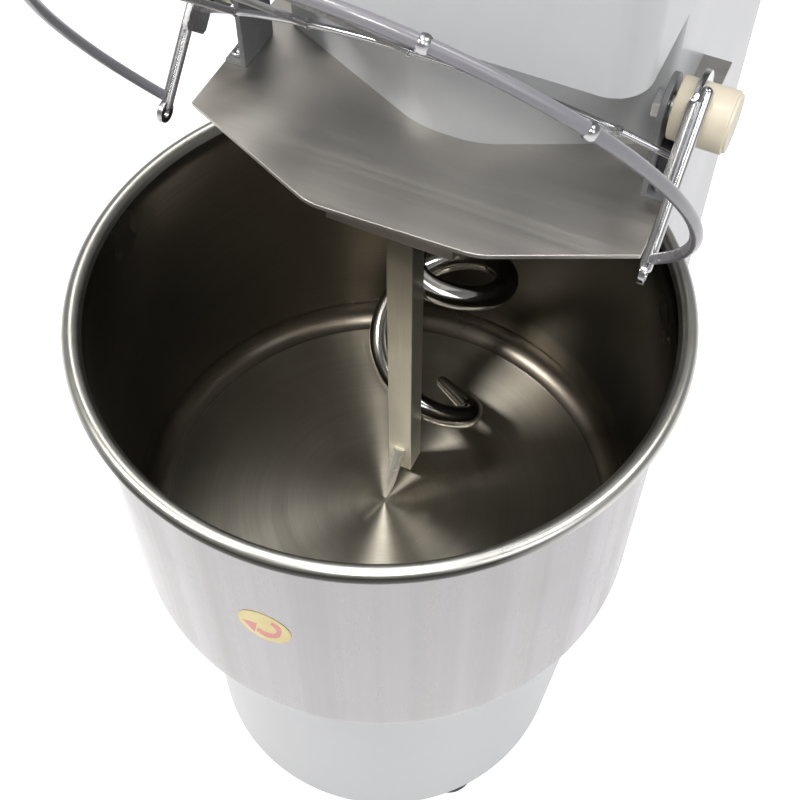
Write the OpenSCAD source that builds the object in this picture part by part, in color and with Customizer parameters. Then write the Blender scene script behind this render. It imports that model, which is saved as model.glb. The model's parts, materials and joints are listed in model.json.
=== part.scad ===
// Spiral dough mixer. It stands on z = 0, with the bowl in front (-Y) and the column behind (+Y).
// X = 0 is the middle of the width, Y = 0 the middle of the depth, and the controls are on +X.

/* [Bowl] */
// Centre-line radius of the rolled rim bead
bead_r = 206; // [200:1:212]
// Radius of the bead's round section
bead_tube = 6; // [5:0.5:7]
// Outside radius of the bowl wall
bowl_r = 201; // [198:0.5:202]
// Sheet thickness of the bowl
bowl_t = 2; // [1.5:0.5:3]
// Inside radius of the knuckle between wall and floor
knuckle_r = 20; // [14:1:26]
// Depth from the bead's centre to the bowl floor
bowl_depth = 265; // [255:1:266]
// Height of the bead's centre above the floor
rim_z = 575; // [575:1:585]

/* [Spiral hook] */
// Distance from the bowl's axis back to the hook's axis
hook_y = 110; // [108:1:112]
// Radius of the coil's centre line
coil_r = 49; // [46:0.5:50]
// Radius of the hook's round bar
coil_bar = 9.6; // [8.5:0.1:10]
// Drop of the coil in one turn
coil_pitch = 156; // [150:1:158]
// Drop of the coil's start below the bead
coil_top = 51.3; // [48:0.1:54]
// Radius of the curl that turns the bar's end inwards
curl_r = 12; // [11:0.5:13]

/* [Breaker bar] */
// Side of the square breaker bar
bar_s = 20; // [16:1:22]
// Clear height between the bar and the bowl floor
bar_gap = 18; // [14:1:24]

/* [Head and plate] */
// Height of the splash plate's top above the bead
plate_h = 80; // [79:1:82]
// Half width of the splash plate
plate_w = 158; // [156:1:158]
// Half width of the head casing
head_w = 140; // [136:1:142]
// Top of the head casing's side walls
head_top = 885; // [880:1:890]

/* [Guard] */
// Angle the guard is lifted from its closed, level position
guard_raise = 59; // [50:1:60]
// Centre-line radius of the guard's outer ring
ring_r = 194; // [192:1:195]
// Radius of the guard's outer rod
ring_rod = 3.5; // [3:0.5:4]
// Radius of the guard's thin wires
wire_rod = 2.25; // [1.5:0.25:2.5]

/* [Body] */
// Half width of the column
col_w = 135; // [134:1:136]
// Back face of the column behind the bowl's axis
col_back = 500; // [499:1:502]
// Radius and half width of the round-fronted base
base_r = 165; // [163:1:170]
// Top of the base cover
base_top = 284; // [282:1:285]
// Thickness of the painted sheet
sheet = 3; // [2.5:0.5:3]

/* [Drive] */
// Teeth on both small sprockets
pinion_n = 11; // [10:1:12]
// Teeth on the intermediate sprocket
idler_n = 45; // [42:1:46]
// Teeth on the bowl sprocket
bowl_n = 40; // [38:1:41]
// Pitch radius of the hook pulley
hook_pulley_r = 60; // [56:1:61]
// Pitch radius of the small pulley that drives the hook
top_pulley_r = 30; // [28:1:32]
// Pitch radius of the large pulley on the upright shaft
big_pulley_r = 88; // [84:1:89]
// Pitch radius of the motor pulley
motor_pulley_r = 25; // [24:1:26]

/* [Hidden] */
$fn = 64;

fit = 0.05;  // clearance round shafts, bearings and other fitted parts

white = [0.86, 0.87, 0.88];
steel = [0.7, 0.7, 0.69];
dark = [0.25, 0.25, 0.26];
belt_black = [0.1, 0.1, 0.1];
cord_black = [0.12, 0.12, 0.12];
motor_grey = [0.35, 0.4, 0.45];
panel_grey = [0.3, 0.31, 0.33];
bracket_grey = [0.6, 0.6, 0.6];
ring_grey = [0.62, 0.62, 0.66];
wire_grey = [0.75, 0.75, 0.76];
hub_beige = [0.8, 0.76, 0.66];
label_yellow = [0.93, 0.75, 0.15];
start_green = [0.1, 0.5, 0.2];
stop_red = [0.7, 0.1, 0.08];
estop_red = [0.75, 0.08, 0.06];
switch_red = [0.75, 0.1, 0.08];

// Heights above the ground
body_z = 30;                // underside of the body
floor_t = 8;                // thickness of the bottom plate
floor_top = body_z + floor_t;
shaft_foot = 45;            // lower end of jackshaft and countershaft
head_z = 765;               // underside of the head
deck_z = 780;               // the frame's top plate
deck_t = 10;
deck_top = deck_z + deck_t;
shaft_top = 862;            // upper end of hook shaft and jackshaft
bowl_floor = rim_z - bowl_depth;
hub_z = bowl_floor - bowl_t - 10;
plate_z = rim_z + plate_h;
nose_z = rim_z + 36;

// Places seen from above, from the bowl's axis
col_front = 232;
cover_back = col_front - 0.1;  // base, neck and splash plate stop just short of the column
jack = [0, 330];
counter = [0, 172];
motor_at = [62, 432];

// Power cord
cord_r = 4;
cord_bend_r = 10;
cord_x = -80;
cord_y = col_back + 26;  // centre line of the hanging part
gland_z = 110;
gland_r = 10;

// The cord is rearmost and the bowl's bead foremost, and the bowl's axis is set to centre them
bowl_y = -(cord_y + cord_r - bead_r - bead_tube) / 2;

// Shaft radii
spindle_r = 15;  // hook shaft and jackshaft
counter_r = 12.5;
bowl_shaft_r = 17.5;
rotor_r = 9;

/* ---------- helpers ---------- */
// Everything is placed from the bowl's axis
module at_bowl(x = 0, y = 0, z = 0) { translate([x, bowl_y + y, z]) children(); }
module mirror_x() {
  children();
  mirror([1, 0, 0]) children();
}
// n copies evenly round Z
module spin(n, start = 0) {
  for (k = [0 : n - 1]) rotate(start + k * 360 / n) children();
}
// Upright cylinder from height z, and one along X from x
module disc(z, h, r) { translate([0, 0, z]) cylinder(h = h, r = r); }
module x_disc(x, h, r) { translate([x, 0, 0]) rotate([0, 90, 0]) cylinder(h = h, r = r); }
// Straight round rod between two points, tapered when r_end is given
module rod(start, end, r, r_end) {
  run = end - start;
  length = norm(run);
  translate(start) rotate([0, acos(run.z / length), atan2(run.y, run.x)])
    cylinder(h = length, r1 = r, r2 = is_undef(r_end) ? r : r_end, $fn = 32);
}
module ring(outer, inner, h) {
  difference() {
    cylinder(h = h, r = outer);
    disc(-1, h + 2, inner);
  }
}
// Rectangle centred on X = 0
module band(half, y0, y1) { translate([-half, y0]) square([2 * half, y1 - y0]); }
module round_rect(low, high, r) {
  size = high - low;
  translate(low + [r, 0]) square(size - [2 * r, 0]);
  translate(low + [0, r]) square(size - [0, 2 * r]);
  for (x = [low.x + r, high.x - r], y = [low.y + r, high.y - r]) translate([x, y]) circle(r);
}
function unit(v) = v / norm(v);
// An outline's corner, rounded from r before it to r after it
function soft(before, corner, after, r) = [for (i = [0 : 6]) let (t = i / 6)
  corner + unit(before - corner) * r * pow(1 - t, 2) + unit(after - corner) * r * t * t];

/* ---------- body ---------- */
inner_gap = 0.5;    // between the bottom plate and the sheet round it
passage_w = 125;    // half width of the chains' passage
foot_places = [[-105, -85], [105, -85], [-100, 440], [100, 440]];
foot_stem_r = 6;
post_s = 20;
post_front = 236;
post_back = col_back - sheet - 28;
frame_back = col_back - sheet;
deck_w = 125;
collar_r = 46;      // hook tube's collar in the deck
switch_y = 290;
switch_z = 270;
column_in = col_w - sheet;

module base_outline(inset) {
  circle(base_r - inset, $fn = 128);
  band(base_r - inset, 0, cover_back - inset);
}
module bottom_plate() color(dark) at_bowl(0, 0, body_z) difference() {
  inset = sheet + inner_gap;
  linear_extrude(floor_t) union() {
    base_outline(inset);
    band(passage_w - inner_gap, 200, 260);
    band(col_w - inset, col_front + inset, col_back - inset);
  }
  for (place = foot_places) translate(place) disc(-1, 10, foot_stem_r + fit);
}
module main_frame() color(dark) at_bowl() difference() {
  union() {
    for (x = [-column_in, column_in - post_s], y = [post_front, post_back])
      translate([x, y, floor_top]) cube([post_s, post_s, deck_z - floor_top]);
    translate([0, 0, deck_z]) linear_extrude(deck_t) polygon([
      [-60, 56], [60, 56], [deck_w, 120], [deck_w, frame_back - 10], [deck_w - 10, frame_back],
      [10 - deck_w, frame_back], [-deck_w, frame_back - 10], [-deck_w, 120]]);
    // ribs along the top plate's sides
    mirror_x() translate([deck_w - 10, 124, deck_top]) cube([10, frame_back - 138, 22]);
    // rails between front and back posts
    for (z = [200, 640]) mirror_x() translate([column_in - 14, post_front + post_s, z])
      cube([8, post_back - post_front - post_s, 20]);
  }
  // holes in the top plate: x, y, radius
  for (hole = [[0, hook_y, collar_r + fit], [jack.x, jack.y, 16], [0, 410, 35], [0, 220, 40]])
    translate([hole.x, hole.y, 0]) disc(770, 30, hole.z);
}
// Opening for the chains, through the base's back and the column's front
module chain_passage() { translate([-passage_w, 215, 20]) cube([2 * passage_w, 30, 250]); }
module base_cover() color(white) at_bowl() difference() {
  union() {
    translate([0, 0, body_z]) linear_extrude(base_top - body_z) difference() {
      base_outline(0);
      base_outline(sheet);
    }
    translate([0, 0, base_top - sheet]) linear_extrude(sheet) base_outline(0);
    disc(base_top - 1, 8, 63);
  }
  disc(base_top - 10, 30, 60);
  chain_passage();
}
module column_casing() color(white) at_bowl() difference() {
  translate([0, 0, body_z]) linear_extrude(head_z - body_z) difference() {
    band(col_w, col_front, col_back);
    // open at the back
    band(column_in, col_front + sheet, col_back + 1);
  }
  chain_passage();
  translate([0, switch_y, switch_z]) x_disc(col_w - 10, 20, 9);
}
// Two columns of louvres on the rear cover
module louvres() {
  for (z = [160 : 22 : 380], x = [-95, 10]) translate([x, col_back, z]) children();
}
module rear_cover() color(white) at_bowl() difference() {
  union() {
    translate([-col_w, col_back, 44]) cube([2 * col_w, 2, 716]);
    louvres() translate([0, 2, 0]) rotate([0, 90, 0]) linear_extrude(85)
      polygon([[0, -0.5], [0, 4.5], [-9, 0], [-9, -0.5]]);
  }
  louvres() translate([2, -1, -3]) cube([81, 2.5, 9]);
  translate([cord_x, col_back - 1, gland_z]) rotate([-90, 0, 0]) cylinder(h = 5, r = gland_r + fit);
}

// Outline of the neck under the head, from its front corners to the column
function neck_points(inset) = let (
    left_front = [-134 + inset, 141 + 0.5 * inset],
    nose_left = [-11 + 0.2 * inset, 84.6 + inset],
    nose_right = [31 - 0.25 * inset, 84.8 + inset],
    right_front = [134 - inset, 133.5 + 0.5 * inset],
    side = 138 - inset,
    back = inset > 0 ? 240 : cover_back)
  concat(soft(left_front, nose_left, nose_right, 16), soft(nose_left, nose_right, right_front, 16),
    [right_front, [side, 139 + inset], [side, back], [-side, back], [-side, 154], left_front]);
module neck(inset) { polygon(neck_points(inset)); }
module head_outline(inset, r) {
  round_rect([-head_w + inset, 40 + inset], [head_w - inset, col_back - inset], r);
}
module head_casing() color(white) at_bowl() difference() {
  union() {
    translate([0, 0, plate_z]) linear_extrude(head_z - plate_z + 1) difference() {
      neck(0);
      neck(sheet);
    }
    translate([0, 0, head_z]) linear_extrude(sheet) head_outline(0, 24);
    translate([0, 0, head_z]) linear_extrude(head_top - head_z) difference() {
      head_outline(0, 24);
      head_outline(sheet, 24 - sheet);
    }
  }
  // floor is open over the neck and the column
  translate([0, 0, head_z - 5]) linear_extrude(10) union() {
    neck(sheet);
    band(column_in, col_front + sheet, col_back - sheet);
  }
  for (hole = concat(panel_holes, [boss_hole]))
    translate([0, hole.x, hole.y]) x_disc(head_w - 10, 20, hole.z);
}
module head_lid() color(white) at_bowl(0, 0, head_top) difference() {
  union() {
    // three steps: height, thickness, inset, corner radius
    for (tier = [[0, 9, 0, 24], [9, 6, 5, 20], [15, 4, 14, 16]])
      translate([0, 0, tier[0]]) linear_extrude(tier[1]) head_outline(tier[2], tier[3]);
  }
  translate([0, 0, -1]) linear_extrude(13) head_outline(12, 14);
}
module levelling_feet() color(steel) at_bowl() for (place = foot_places) translate(place) {
  disc(10, 34, foot_stem_r);
  disc(10, 4, 20);
  disc(22, 8, 10.5, $fn = 6);
}
module foot_pads() color(dark) at_bowl() for (place = foot_places) translate(place)
  cylinder(h = 10, r = 24);

/* ---------- splash plate, nose bracket and breaker bar ---------- */
splash_t = 2;
splash_lip = 1.5;   // width of the lip under the front and sides
bar_at = [2, 26];   // middle of the bar's front face
bar_seat = 32;      // depth of the bar's socket
lower_race_r = 27.5;
upper_race_r = 31;

function splash_points(inset) = let (
    left = [-plate_w + inset, 41.5 + 0.6 * inset],
    nose_left = [-46.4 + 0.22 * inset, -7.2 + inset],
    nose_right = [67.3 - 0.24 * inset, -3.4 + inset],
    right = [plate_w - inset, 39 + 0.6 * inset])
  concat(soft(left, nose_left, nose_right, 9 - inset),
    soft(nose_left, nose_right, right, 9 - inset),
    [right, [plate_w - inset, cover_back], [-plate_w + inset, cover_back], left]);
module splash_outline(inset) { polygon(splash_points(inset)); }
module splash_plate() color(steel) at_bowl(0, 0, plate_z) difference() {
  union() {
    translate([0, 0, -splash_t]) linear_extrude(splash_t) splash_outline(0);
    translate([0, 0, -3.5]) linear_extrude(2.5) difference() {
      splash_outline(0);
      splash_outline(splash_lip);
      band(plate_w - splash_lip, 200, 260);
    }
  }
  translate([0, hook_y, 0]) disc(-5, 10, 21);
}
module nose_bracket() color(steel) at_bowl() difference() {
  union() {
    translate([0, 0, nose_z]) linear_extrude(plate_z - splash_t - nose_z) union() {
      polygon([[-50, 22], [42, 22], [50, 60], [50, 120], [-50, 120], [-50, 60]]);
      translate([0, hook_y]) circle(50);
    }
    translate([0, hook_y, 0]) disc(nose_z - 7, 8, 40);
  }
  translate([bar_at.x - bar_s / 2 - fit, bar_at.y - fit, nose_z - 1])
    cube([bar_s + 2 * fit, bar_s + 2 * fit, bar_seat + 1]);
  translate([0, hook_y, nose_z - 10]) {
    cylinder(h = 44, r = lower_race_r + fit);
    cylinder(h = 60, r = 17);
  }
}
module breaker_bar() color(steel)
  at_bowl(bar_at.x - bar_s / 2, bar_at.y, bowl_floor + bar_gap)
    cube([bar_s, bar_s, nose_z + bar_seat - bowl_floor - bar_gap]);
module breaker_finger() color(steel) at_bowl() difference() {
  rod([bar_at.x, 30, rim_z - 214], [1, 0, rim_z - 255], 5.2, 1.2);
  // cut flush with the bar's front face
  translate([-20, bar_at.y, rim_z - 240]) cube([40, 20, 50]);
}
module bracket_bolts() color(dark) at_bowl() for (x = [-33, 30])
  translate([x, 22, nose_z + 22]) rotate([90, 0, 0]) cylinder(h = 7, r = 6.5, $fn = 6);

/* ---------- hook spindle ---------- */
hook_flange_z = rim_z - 4;
hook_socket = 14;  // height of the shaft's end above the flange's underside

module hook_column_tube() color(dark) at_bowl(0, hook_y, 0) difference() {
  union() {
    disc(plate_z - splash_t, 120, 20.5);
    disc(768, 24, collar_r);
    disc(deck_top, 10, 62);
  }
  disc(plate_z - 10, 200, 17);
  disc(775, 30, upper_race_r + fit);
  spin(4, 45) translate([54, 0, deck_z]) cylinder(h = 30, r = 4.5, $fn = 32);
}
module hook_bearings() color(steel) at_bowl(0, hook_y, 0) {
  translate([0, 0, nose_z + 8]) ring(lower_race_r, spindle_r + fit, 13);
  translate([0, 0, 778]) ring(upper_race_r, spindle_r + fit, 16);
}
module hook_shaft() color(steel) at_bowl(0, hook_y, hook_flange_z + hook_socket)
  cylinder(h = shaft_top - hook_flange_z - hook_socket, r = spindle_r);
module hook_flange() color(steel) at_bowl(0, hook_y, hook_flange_z) difference() {
  cylinder(h = 32, r = 23);
  disc(hook_socket, 30, spindle_r + fit);
}

// The hook's bar is swept along four stretches: lead-in, coil, curl and straight finger.
// Its path is measured from the hook's axis at bead height.
lead_n = 12;
coil_n = 40;
curl_n = 10;
finger_n = 6;
curl_first = lead_n + coil_n;
finger_first = curl_first + curl_n;
bar_sides = 20;
coil_start = 285;  // angles round the hook's axis
coil_end = 680;
curl_start = coil_end + 90 - 720;  // heading where the coil ends
curl_sweep = 102.4;
curl_taper = 1.4;

function helix(angle) = [coil_r * cos(angle), coil_r * sin(angle),
  -coil_top - coil_pitch * (angle - coil_start) / 360];
// Bezier curve from the flange down into the coil's start
function lead_in(t) = let (
    end = helix(coil_start),
    slope = -coil_pitch / (2 * PI * coil_r),
    end_pull = end - 45 * unit([-sin(coil_start), cos(coil_start), slope]))
  pow(1 - t, 3) * [0, 0, -4] + 3 * t * pow(1 - t, 2) * [0, 0, -26]
    + 3 * t * t * (1 - t) * end_pull + t * t * t * end;
coil_foot = helix(coil_end);
curl_centre = [coil_foot.x - curl_r * sin(curl_start), coil_foot.y + curl_r * cos(curl_start)];
function curl(t) = let (heading = curl_start + curl_sweep * t)
  [curl_centre.x + curl_r * sin(heading), curl_centre.y - curl_r * cos(heading),
    coil_foot.z - 9 * t];
function finger(t) = let (heading = curl_start + curl_sweep)
  curl(1) + t * [36 * cos(heading), 36 * sin(heading), -5];
hook_path = concat(
  [for (i = [0 : lead_n - 1]) lead_in(i / lead_n)],
  [for (i = [0 : coil_n - 1]) helix(coil_start + i * (coil_end - coil_start) / coil_n)],
  [for (i = [0 : curl_n - 1]) curl(i / curl_n)],
  [for (i = [0 : finger_n]) finger(i / finger_n)]);
hook_last = len(hook_path) - 1;
function hook_radius(i) =
  i < curl_first ? coil_bar :
  i < finger_first ? coil_bar - curl_taper * (i - curl_first) / curl_n :
  i < hook_last ? coil_bar - curl_taper - 3 * (i - finger_first) / finger_n : 3.2;
function hook_tangent(i) = i == 0 ? [0, 0, -1]
  : unit(hook_path[min(i + 1, hook_last)] - hook_path[i - 1]);
// Points round the bar at station i. Station 0 is vertical, so it borrows the next one's side.
function hook_section(i) = let (
    tangent = hook_tangent(i),
    side = unit(cross(hook_tangent(max(i, 1)), [0, 0, 1])),
    up = unit(cross(tangent, side)),
    across = cross(up, tangent))
  [for (k = [0 : bar_sides - 1]) let (angle = 360 * k / bar_sides)
    hook_path[i] + hook_radius(i) * (cos(angle) * across + sin(angle) * up)];
// Two triangles between stations i and i + 1 at side k
function hook_facets(i, k) = let (
    near = i * bar_sides,
    far = near + bar_sides,
    next = (k + 1) % bar_sides)
  [[near + k, near + next, far + next], [near + k, far + next, far + k]];
module spiral_hook() color(steel) at_bowl(0, hook_y, rim_z) polyhedron(
  points = [for (i = [0 : hook_last]) each hook_section(i)],
  faces = concat(
    [[for (k = [bar_sides - 1 : -1 : 0]) k]],
    [[for (k = [0 : bar_sides - 1]) hook_last * bar_sides + k]],
    [for (i = [0 : hook_last - 1], k = [0 : bar_sides - 1]) each hook_facets(i, k)]));

/* ---------- belts and pulleys ---------- */
pulley_h = 40;
grooves = 2;
groove_w = pulley_h / grooves;
belt_h = 7;
belt_in = 6.5;       // belt's inner face inside the pitch radius
hook_drive_z = 815;  // undersides of the pulleys
motor_drive_z = 540;

// Outline of a belt or chain run round two wheels, the bigger one first
module loop(big, small, big_r, small_r) {
  run = small - big;
  line = atan2(run.y, run.x);
  contact = acos((big_r - small_r) / norm(run));
  polygon(concat(
    [for (i = [0 : 40]) let (a = line + contact + (360 - 2 * contact) * i / 40)
      big + big_r * [cos(a), sin(a)]],
    [for (i = [0 : 24]) let (a = line - contact + 2 * contact * i / 24)
      small + small_r * [cos(a), sin(a)]]));
}
// Strip between two such loops, offset from the given radii
module loop_strip(big, small, big_r, small_r, inner, outer) {
  difference() {
    loop(big, small, big_r + outer, small_r + outer);
    loop(big, small, big_r + inner, small_r + inner);
  }
}
module belts(z, big, small, big_r, small_r) {
  for (groove = [0 : grooves - 1])
    translate([0, 0, z + (groove_w - belt_h) / 2 + groove * groove_w]) linear_extrude(belt_h)
      loop_strip(big, small, big_r - belt_in, small_r - belt_in, 0, 8);
}
// Pulleys over 45 mm radius have a hub and a web, and those over 70 mm have holes in the web
module pulley(pitch, hub, bore) {
  webbed = pitch > 45;
  rim_in = webbed ? pitch - 14 : bore;
  difference() {
    rotate_extrude() union() {
      polygon([[rim_in, 0], [pitch + 2, 0],
        for (k = [0 : grooves - 1]) let (low = k * groove_w, high = low + groove_w) each
          [[pitch + 2, low + 2], [pitch - 7, low + 5.5], [pitch - 7, high - 5.5],
            [pitch + 2, high - 2]],
        [pitch + 2, pulley_h], [rim_in, pulley_h]]);
      if (webbed) {
        translate([bore, 0]) square([hub - bore, pulley_h]);
        translate([hub - 1, pulley_h / 2 - 4]) square([rim_in - hub + 2, 8]);
      }
    }
    if (pitch > 70) spin(5) translate([(rim_in + hub) / 2, 0, 0]) disc(-1, pulley_h + 2, 11);
  }
}
module hook_pulley() color(dark) at_bowl(0, hook_y, hook_drive_z)
  pulley(hook_pulley_r, 24, spindle_r + fit);
module hook_belts() color(belt_black) at_bowl()
  belts(hook_drive_z, [0, hook_y], jack, hook_pulley_r, top_pulley_r);
module jackshaft_top_pulley() color(dark) at_bowl(jack.x, jack.y, hook_drive_z)
  pulley(top_pulley_r, 27, spindle_r + fit);
module jackshaft_big_pulley() color(dark) at_bowl(jack.x, jack.y, motor_drive_z)
  pulley(big_pulley_r, 27, spindle_r + fit);
module motor_pulley() color(dark) at_bowl(motor_at.x, motor_at.y, motor_drive_z)
  pulley(motor_pulley_r, 13, rotor_r + fit);
module motor_belts() color(belt_black) at_bowl()
  belts(motor_drive_z, jack, motor_at, big_pulley_r, motor_pulley_r);

/* ---------- motor ---------- */
motor_top = 522;

module motor() color(motor_grey) at_bowl(motor_at.x, motor_at.y, 0) difference() {
  union() {
    disc(300, 210, 54);
    disc(motor_top - 14, 14, 60);
    disc(280, 44, 58);
    spin(20) translate([52, -1.5, 330]) cube([8, 3, 172]);
  }
  disc(300, 240, rotor_r + fit);
  disc(290, 26, 50);
  spin(8) translate([30, 0, 270]) cylinder(h = 25, r = 8);
}
module motor_mount() color(dark) at_bowl(0, 0, motor_top) difference() {
  translate([-6, 368, 0]) cube([column_in + 6, post_back - 368, 8]);
  translate(motor_at) disc(-1, 10, 20);
}
module motor_rotor() color(steel) at_bowl(motor_at.x, motor_at.y, 300) {
  cylinder(h = 285, r = rotor_r);
  // fan
  spin(6) translate([5, -1.5, 2]) cube([38, 3, 11]);
  cylinder(h = 13, r = 14);
}

/* ---------- shafts and chains ---------- */
first_pitch = 15.875;
bowl_pitch = 19.05;
first_z = 90;       // undersides of the sprockets
bowl_drive_z = 261;
sprocket_t = 8;
chain_h = 14;
bridge_z = 225;     // countershaft's upper bearing
// One tooth: distance from the pitch circle in chain pitches, share of the tooth's angle
tooth = [[-0.30, 0], [-0.22, 0.18], [0.20, 0.40], [0.20, 0.60], [-0.22, 0.82]];

function pitch_r(pitch, teeth) = pitch / (2 * sin(180 / teeth));
// Sprockets with over 20 teeth have lightening holes
module sprocket(teeth, pitch, hub, hub_h, bore) {
  r = pitch_r(pitch, teeth);
  difference() {
    union() {
      linear_extrude(sprocket_t) polygon([for (k = [0 : teeth - 1], point = tooth)
        let (a = (k + point.y) * 360 / teeth) (r + point.x * pitch) * [cos(a), sin(a)]]);
      cylinder(h = hub_h, r = hub);
    }
    disc(-1, hub_h + 2, bore);
    if (teeth > 20)
      spin(6, 15) translate([(r + hub) / 2, 0, 0]) disc(-1, sprocket_t + 2, (r - hub) / 4.2);
  }
}
// Channel-shaped band, open inwards, centred on its sprockets' height
module chain(pitch, big, small, big_n, z) {
  big_r = pitch_r(pitch, big_n);
  small_r = pitch_r(pitch, pinion_n);
  translate([0, 0, z - (chain_h - sprocket_t) / 2]) difference() {
    linear_extrude(chain_h) loop_strip(big, small, big_r, small_r, -5.5, 5.5);
    translate([0, 0, 2]) linear_extrude(chain_h - 4)
      loop_strip(big, small, big_r, small_r, -6, 4.5);
  }
}
module bearing_block(half, corner, boss, bore) {
  difference() {
    union() {
      linear_extrude(8) round_rect([-half, -half], [half, half], corner);
      cylinder(h = 20, r = boss);
    }
    disc(-1, 30, bore + fit);
  }
}
module jackshaft() color(steel) at_bowl(jack.x, jack.y, shaft_foot)
  cylinder(h = shaft_top - shaft_foot, r = spindle_r);
module jackshaft_bearings() color(dark) at_bowl(jack.x, jack.y, 0)
  for (z = [floor_top, deck_top]) translate([0, 0, z]) difference() {
    bearing_block(42, 12, 32, spindle_r);
    spin(4, 45) translate([44, 0, -1]) cylinder(h = 12, r = 4.5, $fn = 32);
  }
module jackshaft_sprocket() color(dark) at_bowl(jack.x, jack.y, first_z)
  sprocket(pinion_n, first_pitch, 21, 24, spindle_r + fit);
module first_chain() color(dark) at_bowl() chain(first_pitch, counter, jack, idler_n, first_z);
module countershaft() color(steel) at_bowl(counter.x, counter.y, shaft_foot)
  cylinder(h = 232, r = counter_r);
module countershaft_bearings() color(dark) at_bowl(counter.x, counter.y, 0) {
  translate([0, 0, floor_top]) bearing_block(36, 10, 27, counter_r);
  // upper bearing on a bridge that stands on the bottom plate
  difference() {
    union() {
      disc(bridge_z, 20, 27);
      translate([-148, -18, bridge_z]) cube([296, 36, 8]);
      mirror_x() translate([140, -18, floor_top]) cube([8, 36, bridge_z - floor_top]);
    }
    disc(bridge_z - 5, 30, counter_r + fit);
  }
}
module countershaft_sprockets() color(dark) at_bowl(counter.x, counter.y, 0) {
  translate([0, 0, first_z]) sprocket(idler_n, first_pitch, 24, 24, counter_r + fit);
  translate([0, 0, bowl_drive_z]) sprocket(pinion_n, bowl_pitch, 20, 14, counter_r + fit);
}
module bowl_chain() color(dark) at_bowl() chain(bowl_pitch, [0, 0], counter, bowl_n, bowl_drive_z);

/* ---------- bowl ---------- */
bowl_in = bowl_r - bowl_t;
bowl_shaft_z = 55;
bowl_race_r = 36;
hub_bolt_r = 4;
hub_bolts_at = 42;  // radius of the hub's bolt circle

// Arc of the knuckle in the bowl's section
function knuckle(r, from, to) = [for (i = [0 : 10]) let (a = from + (to - from) * i / 10)
  [bowl_in - knuckle_r + r * cos(a), bowl_floor + knuckle_r + r * sin(a)]];
module bowl() color(steel) at_bowl() rotate_extrude($fn = 128) union() {
  polygon(concat([[0, bowl_floor - bowl_t]], knuckle(knuckle_r + bowl_t, -90, 0),
    [[bowl_r, rim_z], [bowl_in, rim_z]], knuckle(knuckle_r, 0, -90), [[0, bowl_floor]]));
  translate([bead_r, rim_z]) circle(bead_tube);
}
module bowl_hub() color(dark) at_bowl(0, 0, hub_z) difference() {
  union() {
    cylinder(h = 10, r = 75);
    disc(-20, 21, 27);
  }
  disc(-28, 28, bowl_shaft_r + fit);
  spin(4) translate([hub_bolts_at, 0, 0]) disc(-8, 15, hub_bolt_r + fit);
}
module bowl_bolts() color(steel) at_bowl(0, 0, hub_z) spin(4) translate([hub_bolts_at, 0, 0]) {
  disc(-6, 6, 7, $fn = 6);
  disc(-1, 8, hub_bolt_r, $fn = 32);
}
module bowl_shaft() color(steel) at_bowl(0, 0, bowl_shaft_z)
  cylinder(h = hub_z - bowl_shaft_z, r = bowl_shaft_r);
module bowl_sprocket() color(dark) at_bowl(0, 0, bowl_drive_z)
  sprocket(bowl_n, bowl_pitch, 30, 14, bowl_shaft_r + fit);
module bowl_bearings() color(steel) at_bowl()
  for (z = [60, 236]) translate([0, 0, z]) ring(bowl_race_r, bowl_shaft_r + fit, 17);
module bowl_bearing_housing() color(dark) at_bowl(0, 0, floor_top) difference() {
  union() {
    cylinder(h = 216, r = 44);
    cylinder(h = 10, r = 80);
    spin(6) translate([40, -3, 9]) cube([32, 6, 36]);
  }
  disc(-1, 220, bowl_race_r + fit);
  spin(6, 30) translate([66, 0, -1]) cylinder(h = 20, r = 5, $fn = 32);
}
// Thin round label that follows the front of the bowl wall
module rotation_label() color(label_yellow) at_bowl() intersection() {
  translate([0, 0, rim_z - 140]) difference() {
    cylinder(h = 60, r = bowl_r + 0.4, $fn = 128);
    disc(-1, 62, bowl_r + 0.02, $fn = 128);
  }
  rotate(2.5) translate([0, -180, rim_z - 114]) rotate([90, 0, 0]) cylinder(h = 40, r = 19.5);
}

/* ---------- guard ---------- */
hinge_y = 106;
hinge_z = rim_z + 140;
pivot_up = hinge_z - plate_z;
guard_hub_r = 19.5;
pivot_r = 6;
arm_dir = [0, -0.258, 0.966];
arm_at = [165, 15.6, 33.8];
ring_centre = [0, 99.2, 91.5];
ring_start = asin(-(ring_centre.y + 1.6) / ring_r);
bow_r = 281;  // bowed wire between the arms
bow_centre = [0, arm_at.y - 233, arm_at.z];
bow_start = acos(163 / bow_r);

module at_hinge() { at_bowl(0, hinge_y, hinge_z) children(); }
// Frame on the hinge axis: x across, y towards the ring's far edge, z towards the ring's plane
module guard_frame() { at_hinge() rotate([180 - guard_raise, 0, 0]) children(); }
function bow_point(x) = bow_centre + [x, sqrt(bow_r * bow_r - x * x), 0];
function ring_point(a) = ring_centre + ring_r * [cos(a), sin(a), 0];
// Round bar bent to an arc, open evenly about the y axis
module bent_bar(r, start, bar_r, sides) {
  rotate(start) rotate_extrude(angle = 180 - 2 * start, $fn = 128)
    translate([r, 0]) circle(bar_r, $fn = sides);
}
module guard_ring() color(ring_grey) guard_frame() difference() {
  union() {
    translate(ring_centre) bent_bar(ring_r, ring_start, ring_rod, 32);
    mirror_x() {
      rod(arm_at - 40 * arm_dir, arm_at + 66 * arm_dir, 4);
      translate(arm_at + 69 * arm_dir) x_disc(-2, 4, 7.5, $fn = 32);
      x_disc(158, 4, 26);
      translate(arm_at - [7, 0, 0]) rotate([-atan2(arm_dir.y, arm_dir.z), 0, 0])
        translate([0, -9, -30]) cube([4, 14, 44]);
    }
  }
  mirror_x() {
    x_disc(150, 20, guard_hub_r + fit);
    translate(arm_at + 70.5 * arm_dir) x_disc(-5, 10, 2.6, $fn = 32);
  }
}
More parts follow.
